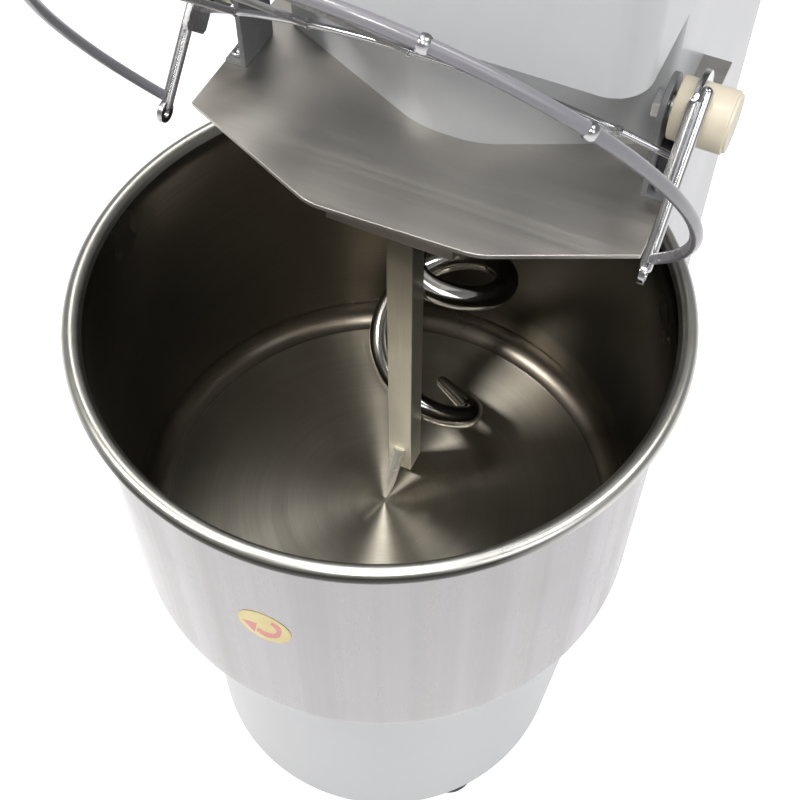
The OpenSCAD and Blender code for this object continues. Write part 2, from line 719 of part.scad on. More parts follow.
module guard_wires() color(wire_grey) guard_frame() {
  translate(bow_centre) bent_bar(bow_r, bow_start, wire_rod, 24);
  rod(bow_point(0), ring_point(90), wire_rod);
  mirror_x() {
    rod(bow_point(68), ring_point(66), wire_rod);
    rod(bow_point(126), ring_point(41), wire_rod);
  }
}
module guard_hubs() color(hub_beige) at_hinge() mirror_x() difference() {
  union() {
    x_disc(148, 34, guard_hub_r);
    x_disc(182, 2, 18);
  }
  x_disc(140, 40.5, pivot_r + fit);
}
module guard_brackets() color(bracket_grey) at_bowl(0, hinge_y, plate_z) mirror_x() difference() {
  union() {
    translate([141, -20, 0]) cube([4, 40, pivot_up]);
    translate([0, 0, pivot_up]) x_disc(141, 4, 20);
    translate([141, -20, 0]) cube([16, 40, 3]);
  }
  translate([0, 0, pivot_up]) x_disc(130, 20, pivot_r + fit);
}
module guard_pivot_pins() color(steel) at_hinge() mirror_x() {
  x_disc(137, 43, pivot_r);
  x_disc(135, 6, 10, $fn = 6);
  x_disc(145, 2.9, 9);
}
module guard_switch() color(dark) at_bowl(0, hinge_y, plate_z + 8) {
  translate([145, -9, 0]) cube([12, 22, 26]);
  translate([149, -2, 25]) cube([5, 4, 6]);
}

/* ---------- controls ---------- */
// Holes in the head's +X side: y, z, radius
start_hole = [230, 835, 5.5];
stop_hole = [275, 835, 5.5];
estop_hole = [330, 835, 8.5];
timer_hole = [385, 845, 4.5];
speed_hole = [385, 800, 4.5];
panel_holes = [start_hole, stop_hole, estop_hole, timer_hole, speed_hole];
boss_hole = [252, 795, 5.5];  // covered by a round boss on the panel

// Frame on a hole, with z pointing out of the head's side
module on_panel(hole) { translate([head_w, hole.x, hole.y]) rotate([0, 90, 0]) children(); }
module control_panel() color(panel_grey) at_bowl() difference() {
  union() {
    translate([head_w, 0, 0]) rotate([90, 0, 90]) linear_extrude(2)
      round_rect([200, 775], [415, 868], 6);
    for (hole = [start_hole, stop_hole]) on_panel(hole) cylinder(h = 8, r = 14.5);
    on_panel(estop_hole) cylinder(h = 5, r = 20);
    on_panel(boss_hole) disc(1, 5, 8);
  }
  for (hole = panel_holes) on_panel(hole) disc(-1, 20, hole.z);
  for (hole = [start_hole, stop_hole]) on_panel(hole) disc(2.5, 20, 11.6);
}
module push_button(hole) {
  at_bowl() on_panel(hole) {
    disc(6, 7, 11.5);
    disc(-14, 21, 5.4);
  }
}
module start_button() color(start_green) push_button(start_hole);
module stop_button() color(stop_red) push_button(stop_hole);
module estop_stem() color(dark) at_bowl() on_panel(estop_hole) {
  disc(-16, 30, 8.4);
  disc(13, 11, 4);
}
module estop_button() color(estop_red) at_bowl() on_panel(estop_hole) difference() {
  union() {
    translate([0, 0, 14]) cylinder(h = 4, r1 = 12, r2 = 19, $fn = 64);
    disc(18, 8, 19);
    translate([0, 0, 26]) cylinder(h = 4, r1 = 19, r2 = 13, $fn = 64);
  }
  disc(10, 15, 4 + fit);
  // finger scallops
  spin(3) translate([24, 0, 17]) cylinder(h = 20, r = 7);
}
module knob(hole, r) {
  at_bowl() on_panel(hole) {
    disc(-14, 18, 4.4);
    disc(3, 12, r);
    translate([-2, 0, 14]) cube([4, r - 1, 3]);
  }
}
module timer_knob() color(dark) knob(timer_hole, 16);
module speed_knob() color(dark) knob(speed_hole, 14);
module main_switch() color(switch_red) at_bowl(col_w, switch_y, switch_z) rotate([0, 90, 0]) {
  disc(-14, 16, 8.9);
  disc(0.5, 8, 24);
  translate([-6, -22, 8]) cube([12, 44, 16]);
}
module cover_screws() color(steel) at_bowl() {
  for (x = [-125, 125], z = [60, 400, 745])
    translate([x, col_back + 2, z]) rotate([-90, 0, 0]) cylinder(h = 2.5, r = 5);
  for (x = [-112, 112], y = [70, 470])
    translate([x, y, head_top + 19]) cylinder(h = 2.5, r = 5);
  mirror_x() for (y = [-12, 12])
    translate([151, hinge_y + y, plate_z + 3]) cylinder(h = 3, r = 4.5);
}
module cord_bend() {
  rotate_extrude(angle = 90) translate([cord_bend_r, 0]) circle(cord_r, $fn = 32);
}
// Gland, bend down, hanging run, bend sideways and a run on the ground
module power_cord() color(cord_black) at_bowl(cord_x, 0, 0) {
  upper = gland_z - cord_bend_r;
  lower = cord_r + cord_bend_r;
  translate([0, col_back - 6, gland_z]) rotate([-90, 0, 0]) cylinder(h = 20, r = gland_r);
  translate([0, col_back + 13, gland_z]) rotate([-90, 0, 0]) cylinder(h = 3, r = cord_r);
  translate([0, cord_y - cord_bend_r, upper]) rotate([0, -90, 0]) cord_bend();
  translate([0, cord_y, lower]) cylinder(h = upper - lower, r = cord_r, $fn = 32);
  translate([cord_bend_r, cord_y, lower]) rotate([90, 0, 0]) rotate(180) cord_bend();
  translate([cord_bend_r, cord_y, cord_r]) rotate([0, 90, 0])
    cylinder(h = 70, r = cord_r, $fn = 32);
}

bottom_plate();
main_frame();
base_cover();
column_casing();
rear_cover();
head_casing();
head_lid();
levelling_feet();
foot_pads();
splash_plate();
nose_bracket();
breaker_bar();
breaker_finger();
bracket_bolts();
hook_column_tube();
hook_bearings();
hook_shaft();
hook_flange();
spiral_hook();
hook_pulley();
hook_belts();
jackshaft();
jackshaft_bearings();
jackshaft_top_pulley();
jackshaft_big_pulley();
jackshaft_sprocket();
motor();
motor_mount();
motor_rotor();
motor_pulley();
motor_belts();
first_chain();
countershaft();
countershaft_bearings();
countershaft_sprockets();
bowl_chain();
bowl();
bowl_hub();
bowl_shaft();
bowl_sprocket();
bowl_bearings();
bowl_bearing_housing();
bowl_bolts();
rotation_label();
guard_ring();
guard_wires();
guard_hubs();
guard_brackets();
guard_pivot_pins();
guard_switch();
control_panel();
start_button();
stop_button();
estop_stem();
estop_button();
timer_knob();
speed_knob();
main_switch();
cover_screws();
power_cord();
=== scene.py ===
"""A floor-standing dough mixer: a round bowl with a spiral hook and an upright breaker bar, under
a head on a column, with a wire guard hinged to the head.

Metres, +Z up. The front is towards -Y, the column towards +Y, and the control panel is on the +X
side of the head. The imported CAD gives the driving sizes. Each CAD piece keeps a plain material,
and the shapes built here stand in for most of them.
"""
import bpy
import bmesh
import json
import math
import numpy as np
from mathutils import Matrix, Vector

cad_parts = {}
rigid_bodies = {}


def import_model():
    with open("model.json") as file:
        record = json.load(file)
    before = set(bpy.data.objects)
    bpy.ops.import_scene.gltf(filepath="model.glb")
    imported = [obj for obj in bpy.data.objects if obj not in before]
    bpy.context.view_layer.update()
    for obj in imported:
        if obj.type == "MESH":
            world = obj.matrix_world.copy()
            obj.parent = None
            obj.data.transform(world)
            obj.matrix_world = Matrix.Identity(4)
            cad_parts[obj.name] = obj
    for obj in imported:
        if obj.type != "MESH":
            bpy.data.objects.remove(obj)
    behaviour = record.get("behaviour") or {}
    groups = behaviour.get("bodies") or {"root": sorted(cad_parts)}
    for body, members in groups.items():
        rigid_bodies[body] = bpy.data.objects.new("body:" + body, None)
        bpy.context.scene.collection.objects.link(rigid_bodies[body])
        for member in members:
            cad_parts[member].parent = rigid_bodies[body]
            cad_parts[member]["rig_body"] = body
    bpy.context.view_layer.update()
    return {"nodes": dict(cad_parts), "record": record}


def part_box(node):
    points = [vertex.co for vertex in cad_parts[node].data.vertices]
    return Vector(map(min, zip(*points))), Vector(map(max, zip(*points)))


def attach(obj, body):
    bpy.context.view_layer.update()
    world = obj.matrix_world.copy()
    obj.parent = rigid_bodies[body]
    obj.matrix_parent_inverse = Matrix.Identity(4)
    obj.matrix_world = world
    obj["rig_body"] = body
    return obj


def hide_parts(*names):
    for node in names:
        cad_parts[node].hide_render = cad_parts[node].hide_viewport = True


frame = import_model()
scene = bpy.context.scene

# ---------------------------------------------------------------- driving sizes of the bowl
bowl_low, bowl_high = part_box("bowl")
BEAD_TUBE = 0.006                                   # radius of the rolled bead's section
AXIS_X = (bowl_low.x + bowl_high.x) / 2
AXIS_Y = (bowl_low.y + bowl_high.y) / 2
RIM_Z = bowl_high.z - BEAD_TUBE                     # centre of the bead
BEAD_R = (bowl_high.x - bowl_low.x) / 2 - BEAD_TUBE
SHEET = 0.002
BOWL_R = BEAD_R - 0.005                             # outside of the wall
FLOOR_Z = bowl_low.z + SHEET                        # inside of the floor


def rim_point(x, y, z):
    """Millimetres from the bowl's axis, height from the bead's centre."""
    return Vector((AXIS_X + x / 1000, AXIS_Y + y / 1000, RIM_Z + z / 1000))


# ---------------------------------------------------------------- shader graphs
def rgba(color):
    return (*color, 1.0) if isinstance(color, tuple) else color


def shade(color, factor):
    return tuple(x * factor for x in color)


class Graph:
    """Node tree of a material or world. Its methods add nodes and give the last one's output."""

    def __init__(self, owner):
        owner.use_nodes = True
        self.owner = owner
        self.tree = owner.node_tree
        self.tree.nodes.clear()

    def feed(self, node, inputs):
        for key, value in inputs.items():
            if isinstance(value, bpy.types.NodeSocket):
                self.tree.links.new(value, node.inputs[key])
            else:
                node.inputs[key].default_value = value

    def node(self, kind, inputs=None, **props):
        node = self.tree.nodes.new("ShaderNode" + kind)
        for key, value in props.items():
            setattr(node, key, value)
        self.feed(node, inputs or {})
        return node

    def source(self, kind, output):
        return self.node(kind).outputs[output]

    def vector(self, operation, first, second=None, output="Vector"):
        inputs = {0: first} if second is None else {0: first, 1: second}
        return self.node("VectorMath", inputs, operation=operation).outputs[output]

    def scaled(self, vector, factor):
        return self.vector("MULTIPLY", vector, (factor,) * 3)

    def dot(self, first, second):
        return self.vector("DOT_PRODUCT", first, second, "Value")

    def position(self, scale=(1, 1, 1)):
        return self.vector("MULTIPLY", self.source("TexCoord", "Object"), scale)

    def part(self, vector, index):
        """One component of a vector."""
        return self.node("SeparateXYZ", {0: vector}).outputs[index]

    def combine(self, x, y, z):
        return self.node("CombineXYZ", {0: x, 1: y, 2: z}).outputs[0]

    def math(self, operation, first, second, **props):
        return self.node("Math", {0: first, 1: second}, operation=operation, **props).outputs[0]

    def times(self, first, second):
        return self.math("MULTIPLY", first, second)

    def plus(self, first, second):
        return self.math("ADD", first, second)

    def noise(self, vector, scale, detail=3.0, rough=0.55):
        inputs = {"Vector": vector, "Scale": scale, "Detail": detail, "Roughness": rough}
        return self.node("TexNoise", inputs).outputs[0]

    def ramp(self, value, span, to):
        """Maps the span of a value onto the range to."""
        inputs = {0: value, 1: span[0], 2: span[1], 3: to[0], 4: to[1]}
        return self.node("MapRange", inputs).outputs[0]

    def mix(self, amount, under, over):
        inputs = {"Fac": amount, "Color1": rgba(under), "Color2": rgba(over)}
        return self.node("MixRGB", inputs).outputs[0]

    def patch(self, under, over, mask, span, amount=1.0):
        """Lays one colour over another, up to an amount, as the mask rises through the span."""
        return self.mix(self.ramp(mask, span, to=(0.0, amount)), under, over)

    def bump(self, height, strength, distance, normal=None):
        inputs = {"Height": height, "Strength": strength, "Distance": distance}
        if normal is not None:
            inputs["Normal"] = normal
        return self.node("Bump", inputs).outputs[0]

    def edges(self, radius, gain=6.0):
        """1 on edges, 0 on faces."""
        soft = self.node("Bevel", {"Radius": radius}, samples=4).outputs[0]
        turned = self.math("SUBTRACT", 1.0, self.dot(soft, self.source("NewGeometry", "Normal")))
        return self.math("MULTIPLY", turned, gain, use_clamp=True)

    def bowl_frame(self):
        """Level offset from the bowl's axis, its direction, the height and the raw position."""
        position = self.source("TexCoord", "Object")
        offset = self.vector("SUBTRACT", position, (AXIS_X, AXIS_Y, 0.0))
        split = self.node("SeparateXYZ", {0: offset})
        level = self.combine(split.outputs[0], split.outputs[1], 0.0)
        return level, self.vector("NORMALIZE", level), split.outputs[2], position

    def ring_tangent(self):
        return self.node("Tangent", direction_type="RADIAL", axis="Z").outputs[0]


class Material(Graph):
    def __init__(self, name):
        super().__init__(bpy.data.materials.new(name))
        output = self.node("OutputMaterial")
        self.surface = self.node("BsdfPrincipled")
        self.feed(output, {0: self.surface.outputs[0]})

    def finish(self, **inputs):
        """Sets the surface's inputs, with underscores for spaces, and gives the material."""
        self.feed(self.surface, {key.replace("_", " "): value for key, value in inputs.items()})
        return self.owner


# ---------------------------------------------------------------- materials
def painted(name, base, rough=0.38):
    """Orange-peel paint with a little dust, chipped to metal along the edges."""
    mat = Material(name)
    pos = mat.position()
    blotch = mat.noise(pos, scale=7.0, detail=4.0)
    peel = mat.noise(pos, scale=520.0, detail=2.0, rough=0.4)
    dust = mat.noise(pos, scale=60.0, detail=5.0, rough=0.7)
    color = mat.patch(shade(base, 0.93), base, blotch, span=(0.35, 0.65))
    color = mat.patch(color, (0.42, 0.40, 0.37), dust, span=(0.55, 0.8), amount=0.12)
    flakes = mat.noise(pos, scale=140.0, detail=4.0, rough=0.7)
    chips = mat.times(mat.edges(radius=0.0016), mat.ramp(flakes, (0.50, 0.66), to=(0.0, 0.55)))
    return mat.finish(
        Base_Color=mat.mix(chips, color, (0.45, 0.45, 0.46)),
        Roughness=mat.ramp(blotch, (0.3, 0.7), to=(rough - 0.05, rough + 0.07)),
        Metallic=0.0, Coat_Weight=0.25, Coat_Roughness=0.12,
        Normal=mat.bump(peel, strength=0.09, distance=0.0006))


def brushed(name, base, rough, axis, fine, tint=None):
    """Metal with straight brush lines along one axis."""
    mat = Material(name)
    stretch = [1.0, 1.0, 1.0]
    stretch[axis] = 0.012
    along = mat.position(tuple(stretch))
    lines = mat.noise(along, scale=fine, rough=0.7)
    broad = mat.noise(along, scale=fine / 14.0, rough=0.6)
    smear = mat.noise(mat.position(), scale=9.0, detail=4.0)
    color = mat.patch(tint or shade(base, 0.84), base, lines, span=(0.3, 0.7))
    color = mat.patch(color, shade(base, 0.8), smear, span=(0.4, 0.7), amount=0.25)
    return mat.finish(
        Base_Color=color, Metallic=1.0,
        Roughness=mat.plus(mat.ramp(broad, (0.3, 0.7), to=(rough - 0.06, rough + 0.08)),
                           mat.ramp(smear, (0.45, 0.75), to=(0.0, 0.07))),
        Normal=mat.bump(lines, strength=0.05, distance=0.0002))


def polished(name, base, rough, wave=0.05):
    """Polished metal, slightly wavy, with fine scratches."""
    mat = Material(name)
    pos = mat.position()
    stain = mat.noise(pos, scale=11.0, detail=4.0)
    scratch = mat.noise(mat.position((1.0, 1.0, 0.05)), scale=1500.0, detail=2.0, rough=0.6)
    wavy = mat.noise(pos, scale=45.0, detail=2.0, rough=0.5)
    waves = mat.bump(wavy, strength=wave, distance=0.0008)
    return mat.finish(
        Base_Color=mat.patch(base, shade(base, 0.86), stain, span=(0.35, 0.7)), Metallic=1.0,
        Roughness=mat.plus(mat.ramp(stain, (0.3, 0.7), to=(rough * 0.6, rough * 1.8)),
                           mat.ramp(scratch, (0.55, 0.8), to=(0.0, 0.05))),
        Normal=mat.bump(scratch, strength=0.03, distance=0.0001, normal=waves))


def cast(name, base, rough=0.6):
    """Rough casting with its edges rubbed bright."""
    mat = Material(name)
    pos = mat.position()
    grain = mat.noise(pos, scale=420.0, detail=5.0, rough=0.7)
    stain = mat.noise(pos, scale=14.0, detail=4.0)
    color = mat.patch(base, shade(base, 0.65), stain, span=(0.35, 0.65))
    color = mat.mix(mat.times(mat.edges(radius=0.0015), 0.5), color, (0.4, 0.4, 0.41))
    return mat.finish(
        Base_Color=color, Metallic=0.75,
        Roughness=mat.ramp(grain, (0.3, 0.7), to=(rough - 0.1, rough + 0.15)),
        Normal=mat.bump(grain, strength=0.35, distance=0.0006))


def rubber(name, base, rough=0.75):
    mat = Material(name)
    pos = mat.position()
    grain = mat.noise(pos, scale=700.0, detail=4.0, rough=0.7)
    bloom = mat.noise(pos, scale=18.0, detail=5.0)
    pale = tuple(x * 1.8 + 0.02 for x in base)
    return mat.finish(
        Base_Color=mat.patch(base, pale, bloom, span=(0.4, 0.7), amount=0.6),
        Roughness=mat.ramp(bloom, (0.3, 0.7), to=(rough - 0.08, rough + 0.12)),
        Normal=mat.bump(grain, strength=0.2, distance=0.0004))


def plastic(name, base, rough, grain, relief, coat=0.0):
    """Moulded plastic, a little paler on its edges; relief is the strength of the grain."""
    mat = Material(name)
    pos = mat.position()
    texture = mat.noise(pos, scale=grain, rough=0.6)
    stain = mat.noise(pos, scale=16.0, detail=4.0)
    pale = tuple(min(1.0, x * 1.25 + 0.03) for x in base)
    color = mat.patch(base, shade(base, 0.88), stain, span=(0.35, 0.7))
    color = mat.mix(mat.times(mat.edges(radius=0.0012), 0.35), color, pale)
    return mat.finish(
        Base_Color=color, Roughness=mat.ramp(stain, (0.3, 0.7), to=(rough - 0.06, rough + 0.1)),
        Coat_Weight=coat, Coat_Roughness=0.08,
        Normal=mat.bump(texture, strength=relief, distance=0.0003))


def bowl_outside():
    """Polished rolled sheet: faint vertical bands and a soft haze."""
    mat = Material("bowl_outside_polish")
    _, outward, height, pos = mat.bowl_frame()
    around = mat.scaled(outward, 5.5)
    band = mat.noise(around, scale=1.6, detail=4.0, rough=0.6)
    thin = mat.noise(mat.scaled(outward, 60.0), scale=3.0, rough=0.7)
    haze = mat.noise(pos, scale=10.0, detail=4.0)
    warm = mat.noise(around, scale=2.7, detail=2.0, rough=0.5)
    upright = mat.combine(mat.times(mat.part(outward, 0), 260.0),
                          mat.times(mat.part(outward, 1), 260.0), mat.times(height, 6.0))
    lines = mat.noise(upright, scale=1.0, detail=2.0, rough=0.6)
    color = mat.patch((0.318, 0.311, 0.324), (0.288, 0.280, 0.286), band, span=(0.35, 0.68))
    color = mat.patch(color, (0.305, 0.294, 0.276), warm, span=(0.58, 0.74), amount=0.45)
    color = mat.patch(color, (0.305, 0.296, 0.305), thin, span=(0.55, 0.85), amount=0.02)
    color = mat.patch(color, (0.26, 0.25, 0.25), lines, span=(0.35, 0.75), amount=0.01)
    rough = mat.plus(mat.ramp(band, (0.3, 0.7), to=(0.22, 0.30)),
                     mat.ramp(haze, (0.45, 0.75), to=(0.0, 0.06)))
    rough = mat.plus(rough, mat.ramp(lines, (0.4, 0.8), to=(0.0, 0.006)))
    return mat.finish(Base_Color=color, Metallic=1.0, Roughness=rough)


def bowl_inside():
    """Fine level rings on a dark brown base that is partly painted shade; painted shade darkens the
    upper wall on the +X +Y side.
    """
    mat = Material("bowl_inside_brush")
    _, outward, height, pos = mat.bowl_frame()
    rings = mat.combine(mat.times(height, 1500.0), mat.times(mat.part(outward, 0), 1.5),
                        mat.times(mat.part(outward, 1), 1.5))
    lines = mat.noise(rings, scale=1.0, rough=0.7)
    smear = mat.noise(pos, scale=8.0, detail=4.0)
    # The dark brown base, darker than the bowl's steel elsewhere, is partly painted shade and
    # painted dark reflection.
    color = mat.patch((0.150, 0.134, 0.112), (0.200, 0.180, 0.152), lines, span=(0.3, 0.7))
    color = mat.patch(color, (0.13, 0.112, 0.095), smear, span=(0.4, 0.7), amount=0.3)
    # Painted shade: the upper wall facing +X +Y is mixed towards near black.
    facing = mat.dot(outward, (0.80, 0.60, 0.0))
    high = mat.ramp(height, (FLOOR_Z + 0.02, FLOOR_Z + 0.05), to=(0.0, 1.0))
    shadow = mat.times(high, mat.ramp(facing, (0.0, 0.75), to=(0.0, 0.88)))
    return mat.finish(
        Base_Color=mat.mix(shadow, color, (0.020, 0.018, 0.014)), Metallic=1.0,
        Roughness=mat.ramp(smear, (0.3, 0.7), to=(0.26, 0.34)), Anisotropic=0.5,
        Tangent=mat.ring_tangent(), Anisotropic_Rotation=0.25,
        Normal=mat.bump(lines, strength=0.05, distance=0.0002))


def bowl_floor():
    """Turned floor: concentric rings that throw radial beams of light."""
    mat = Material("bowl_floor_turned")
    level, outward, _, pos = mat.bowl_frame()
    radius = mat.vector("LENGTH", level, output="Value")
    split = mat.node("SeparateXYZ", {0: outward}).outputs

    def rings(radial, around):
        return mat.combine(mat.times(radius, radial), mat.times(split[0], around),
                           mat.times(split[1], around))

    fine = mat.noise(rings(radial=1700.0, around=0.9), scale=1.0, detail=4.0, rough=0.75)
    broad = mat.noise(rings(radial=120.0, around=0.5), scale=1.0, rough=0.6)
    smear = mat.noise(pos, scale=14.0, detail=5.0, rough=0.6)
    color = mat.patch((0.335, 0.315, 0.270), (0.415, 0.392, 0.336), fine, span=(0.3, 0.7))
    color = mat.patch(color, (0.33, 0.305, 0.26), broad, span=(0.4, 0.7), amount=0.35)
    color = mat.patch(color, (0.28, 0.255, 0.215), smear, span=(0.45, 0.75), amount=0.22)
    return mat.finish(
        Base_Color=color, Metallic=1.0, Roughness=mat.ramp(broad, (0.3, 0.7), to=(0.36, 0.42)),
        Anisotropic=0.98, Tangent=mat.ring_tangent(), Anisotropic_Rotation=0.25,
        Normal=mat.bump(fine, strength=0.10, distance=0.0002))


def printed(name, base, dark):
    """Glossy film or ink."""
    mat = Material(name)
    pos = mat.position()
    stain = mat.noise(pos, scale=90.0, detail=4.0)
    dots = mat.noise(pos, scale=1600.0, detail=2.0)
    return mat.finish(
        Base_Color=mat.patch(base, dark, stain, span=(0.35, 0.7)),
        Roughness=mat.ramp(stain, (0.3, 0.7), to=(0.28, 0.42)), Coat_Weight=0.4,
        Coat_Roughness=0.1, Normal=mat.bump(dots, strength=0.05, distance=0.0001))


def ground_pin():
    """Ground and scuffed round pin."""
    mat = Material("pin_ground")
    pos = mat.position()
    lines = mat.noise(mat.position((1.0, 1.0, 0.05)), scale=1500.0, rough=0.6)
    scuff = mat.noise(pos, scale=55.0, detail=4.0)
    color = mat.patch((0.78, 0.76, 0.70), (0.90, 0.88, 0.83), lines, span=(0.3, 0.7))
    color = mat.patch(color, (0.46, 0.44, 0.39), scuff, span=(0.45, 0.7), amount=0.2)
    return mat.finish(
        Base_Color=color, Metallic=0.6, Roughness=mat.ramp(scuff, (0.3, 0.7), to=(0.20, 0.30)),
        Normal=mat.bump(lines, strength=0.05, distance=0.0001))


def bead_satin():
    """Satin rolled bead with painted shade and a painted dark reflection on its outer slope, most
    of all at the front.
    """
    mat = Material("bowl_bead_satin")
    _, outward, _, pos = mat.bowl_frame()
    normal = mat.source("NewGeometry", "Normal")
    facing_up = mat.part(normal, 2)
    facing_out = mat.dot(normal, outward)
    front = mat.dot(outward, (0.19, -0.98, 0.0))
    # Painted shade and painted dark reflection on the bead's downward outer slope, strongest at the
    # front.
    painted_underside_shade = mat.times(mat.ramp(facing_up, (0.80, 0.52), to=(0.0, 1.0)),
                     mat.ramp(facing_out, (0.0, 0.3), to=(0.0, 1.0)))
    painted_underside_shade = mat.times(painted_underside_shade, mat.ramp(front, (0.60, 0.84), to=(0.10, 1.0)))
    stain = mat.noise(pos, scale=16.0, detail=4.0)
    band = mat.noise(mat.scaled(outward, 16.0), scale=1.3, rough=0.6)
    color = mat.patch((0.62, 0.61, 0.575), (0.55, 0.54, 0.505), stain, span=(0.35, 0.7))
    color = mat.patch(color, (0.50, 0.49, 0.46), band, span=(0.4, 0.7), amount=0.3)
    return mat.finish(
        Base_Color=mat.mix(painted_underside_shade, color, (0.055, 0.053, 0.048)), Metallic=1.0,
        Roughness=mat.plus(mat.ramp(band, (0.3, 0.7), to=(0.27, 0.35)),
                           mat.ramp(stain, (0.45, 0.75), to=(0.0, 0.04))))


def blasted_bar():
    """Warm blasted bar with a faint drawn grain, with painted light low down and painted shade high
    up and on its +X side.
    """
    mat = Material("bar_blasted")
    pos = mat.position()
    grain = mat.noise(pos, scale=1400.0, rough=0.7)
    lines = mat.noise(mat.position((1.0, 1.0, 0.03)), scale=700.0, rough=0.6)
    stain = mat.noise(pos, scale=22.0, detail=4.0)
    height = mat.part(pos, 2)
    facing_x = mat.part(mat.source("NewGeometry", "Normal"), 0)
    # Painted light: the bar is painted pale low down, where more light reaches it.
    low = mat.ramp(height, (FLOOR_Z + 0.06, FLOOR_Z + 0.19), to=(1.0, 0.0))
    # Painted shade on the bar's +X side, less of it near the floor.
    side = mat.times(mat.ramp(facing_x, (0.3, 0.8), to=(0.0, 0.62)),
                     mat.ramp(height, (FLOOR_Z + 0.02, FLOOR_Z + 0.07), to=(0.25, 1.0)))
    color = mat.patch((0.60, 0.555, 0.46), (0.70, 0.65, 0.55), lines, span=(0.3, 0.7))
    color = mat.patch(color, (0.52, 0.475, 0.39), stain, span=(0.4, 0.7), amount=0.35)
    color = mat.mix(low, color, (1.0, 0.95, 0.80))
    # Painted shade high up on the bar, under the splash plate.
    color = mat.patch(color, (0.15, 0.135, 0.105), height,
                      span=(FLOOR_Z + 0.17, FLOOR_Z + 0.285), amount=0.9)
    return mat.finish(
        Base_Color=mat.mix(side, color, (0.16, 0.145, 0.115)),
        Metallic=mat.ramp(low, (0.0, 1.0), to=(0.6, 0.35)),
        Roughness=mat.ramp(stain, (0.3, 0.7), to=(0.27, 0.36)),
        Normal=mat.bump(grain, strength=0.05, distance=0.0002))


MAT = {
    # The casing's light bluish grey is darker than the white paint it stands for, partly as painted
    # shade.
    "casing_paint": painted("casing_paint_grey_with_painted_shade", (0.50, 0.515, 0.54)),
    "frame_steel": painted("frame_grey_paint", (0.16, 0.165, 0.175), rough=0.5),
    "satin_stainless": brushed("satin_stainless", (0.53, 0.510, 0.480), rough=0.42, axis=0,
                               fine=1100.0, tint=(0.50, 0.480, 0.452)),
    "bar_stainless": blasted_bar(),
    "polished_stainless": polished("hook_polish", (0.72, 0.71, 0.69), rough=0.10),
    "bowl_stainless": bowl_outside(),
    "machined_steel": brushed("machined_steel", (0.60, 0.61, 0.63), rough=0.28, axis=2,
                              fine=800.0),
    "cast_iron": cast("cast_iron", (0.13, 0.135, 0.14)),
    "sprocket_steel": brushed("oiled_steel", (0.20, 0.20, 0.21), rough=0.30, axis=0, fine=700.0),
    "belt_rubber": rubber("black_rubber", (0.022, 0.022, 0.023)),
    "motor_paint": painted("motor_paint", (0.11, 0.16, 0.21), rough=0.45),
    "guard_chrome": polished("guard_chrome", (0.50, 0.50, 0.51), rough=0.20, wave=0.015),
    "cream_plastic": plastic("cream_plastic", (0.66, 0.60, 0.48), rough=0.42, grain=420.0,
                             relief=0.10),
    "black_plastic": plastic("black_plastic", (0.028, 0.028, 0.031), rough=0.45, grain=700.0,
                             relief=0.16),
    "panel_plastic": plastic("panel_plastic", (0.10, 0.105, 0.115), rough=0.5, grain=900.0,
                             relief=0.25),
    "green_plastic": plastic("green_plastic", (0.02, 0.30, 0.07), rough=0.22, grain=500.0,
                             relief=0.03, coat=0.4),
    "red_plastic": plastic("red_plastic", (0.50, 0.018, 0.012), rough=0.22, grain=500.0,
                           relief=0.03, coat=0.4),
    "label_film": printed("label_yellow", (0.66, 0.53, 0.15), dark=(0.60, 0.47, 0.12)),
}
BOWL_INSIDE = bowl_inside()
BOWL_FLOOR = bowl_floor()
PRINT_WHITE = printed("print_white", (0.80, 0.80, 0.78), dark=(0.70, 0.70, 0.68))
PRINT_RED = printed("print_red", (0.60, 0.115, 0.095), dark=(0.52, 0.085, 0.07))
BEAD = bead_satin()
LENS = plastic("lamp_lens", (0.05, 0.42, 0.12), rough=0.12, grain=800.0, relief=0.02, coat=0.6)

SLOT_OF = {piece["node"]: piece["material_slot"] for piece in frame["record"]["subparts"]}
BODY_OF = {node: ob["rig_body"] for node, ob in frame["nodes"].items()}
for node, ob in frame["nodes"].items():
    ob.data.materials.clear()
    ob.data.materials.append(MAT[SLOT_OF[node]])


# ---------------------------------------------------------------- mesh helpers
def to_object(name, bm, mats, angle=32.0, weighted=True):
    """Smooth object from a bmesh, with edges sharper than the angle (degrees) kept crisp."""
    for face in bm.faces:
        face.smooth = True
    for edge in bm.edges:
        if len(edge.link_faces) == 2 and edge.calc_face_angle(0.0) > math.radians(angle):
            edge.smooth = False
    mesh = bpy.data.meshes.new(name)
    bm.to_mesh(mesh)
    bm.free()
    for mat in mats:
        mesh.materials.append(mat)
    ob = bpy.data.objects.new(name, mesh)
    scene.collection.objects.link(ob)
    if weighted:
        normals = ob.modifiers.new("normals", "WEIGHTED_NORMAL")
        normals.keep_sharp = True
        normals.weight = 100
    return ob


def make(name, shape, body, mats, replaces=(), angle=32.0, face_mats=None):
    bm = bmesh.new()
    verts = [bm.verts.new(v) for v in shape[0]]
    for i, indices in enumerate(shape[1]):
        face = bm.faces.new([verts[k] for k in indices])
        if face_mats:
            face.material_index = face_mats[i]
    bmesh.ops.recalc_face_normals(bm, faces=bm.faces[:])
    ob = to_object(name, bm, mats, angle, weighted=False)
    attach(ob, body)
    if replaces:
        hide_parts(*replaces)
    return ob


def bevel_edges(bm, edges, width, segments, **options):
    bmesh.ops.bevel(bm, geom=edges, offset=width, offset_type="OFFSET", segments=segments,
                    profile=0.5, affect="EDGES", clamp_overlap=True, **options)


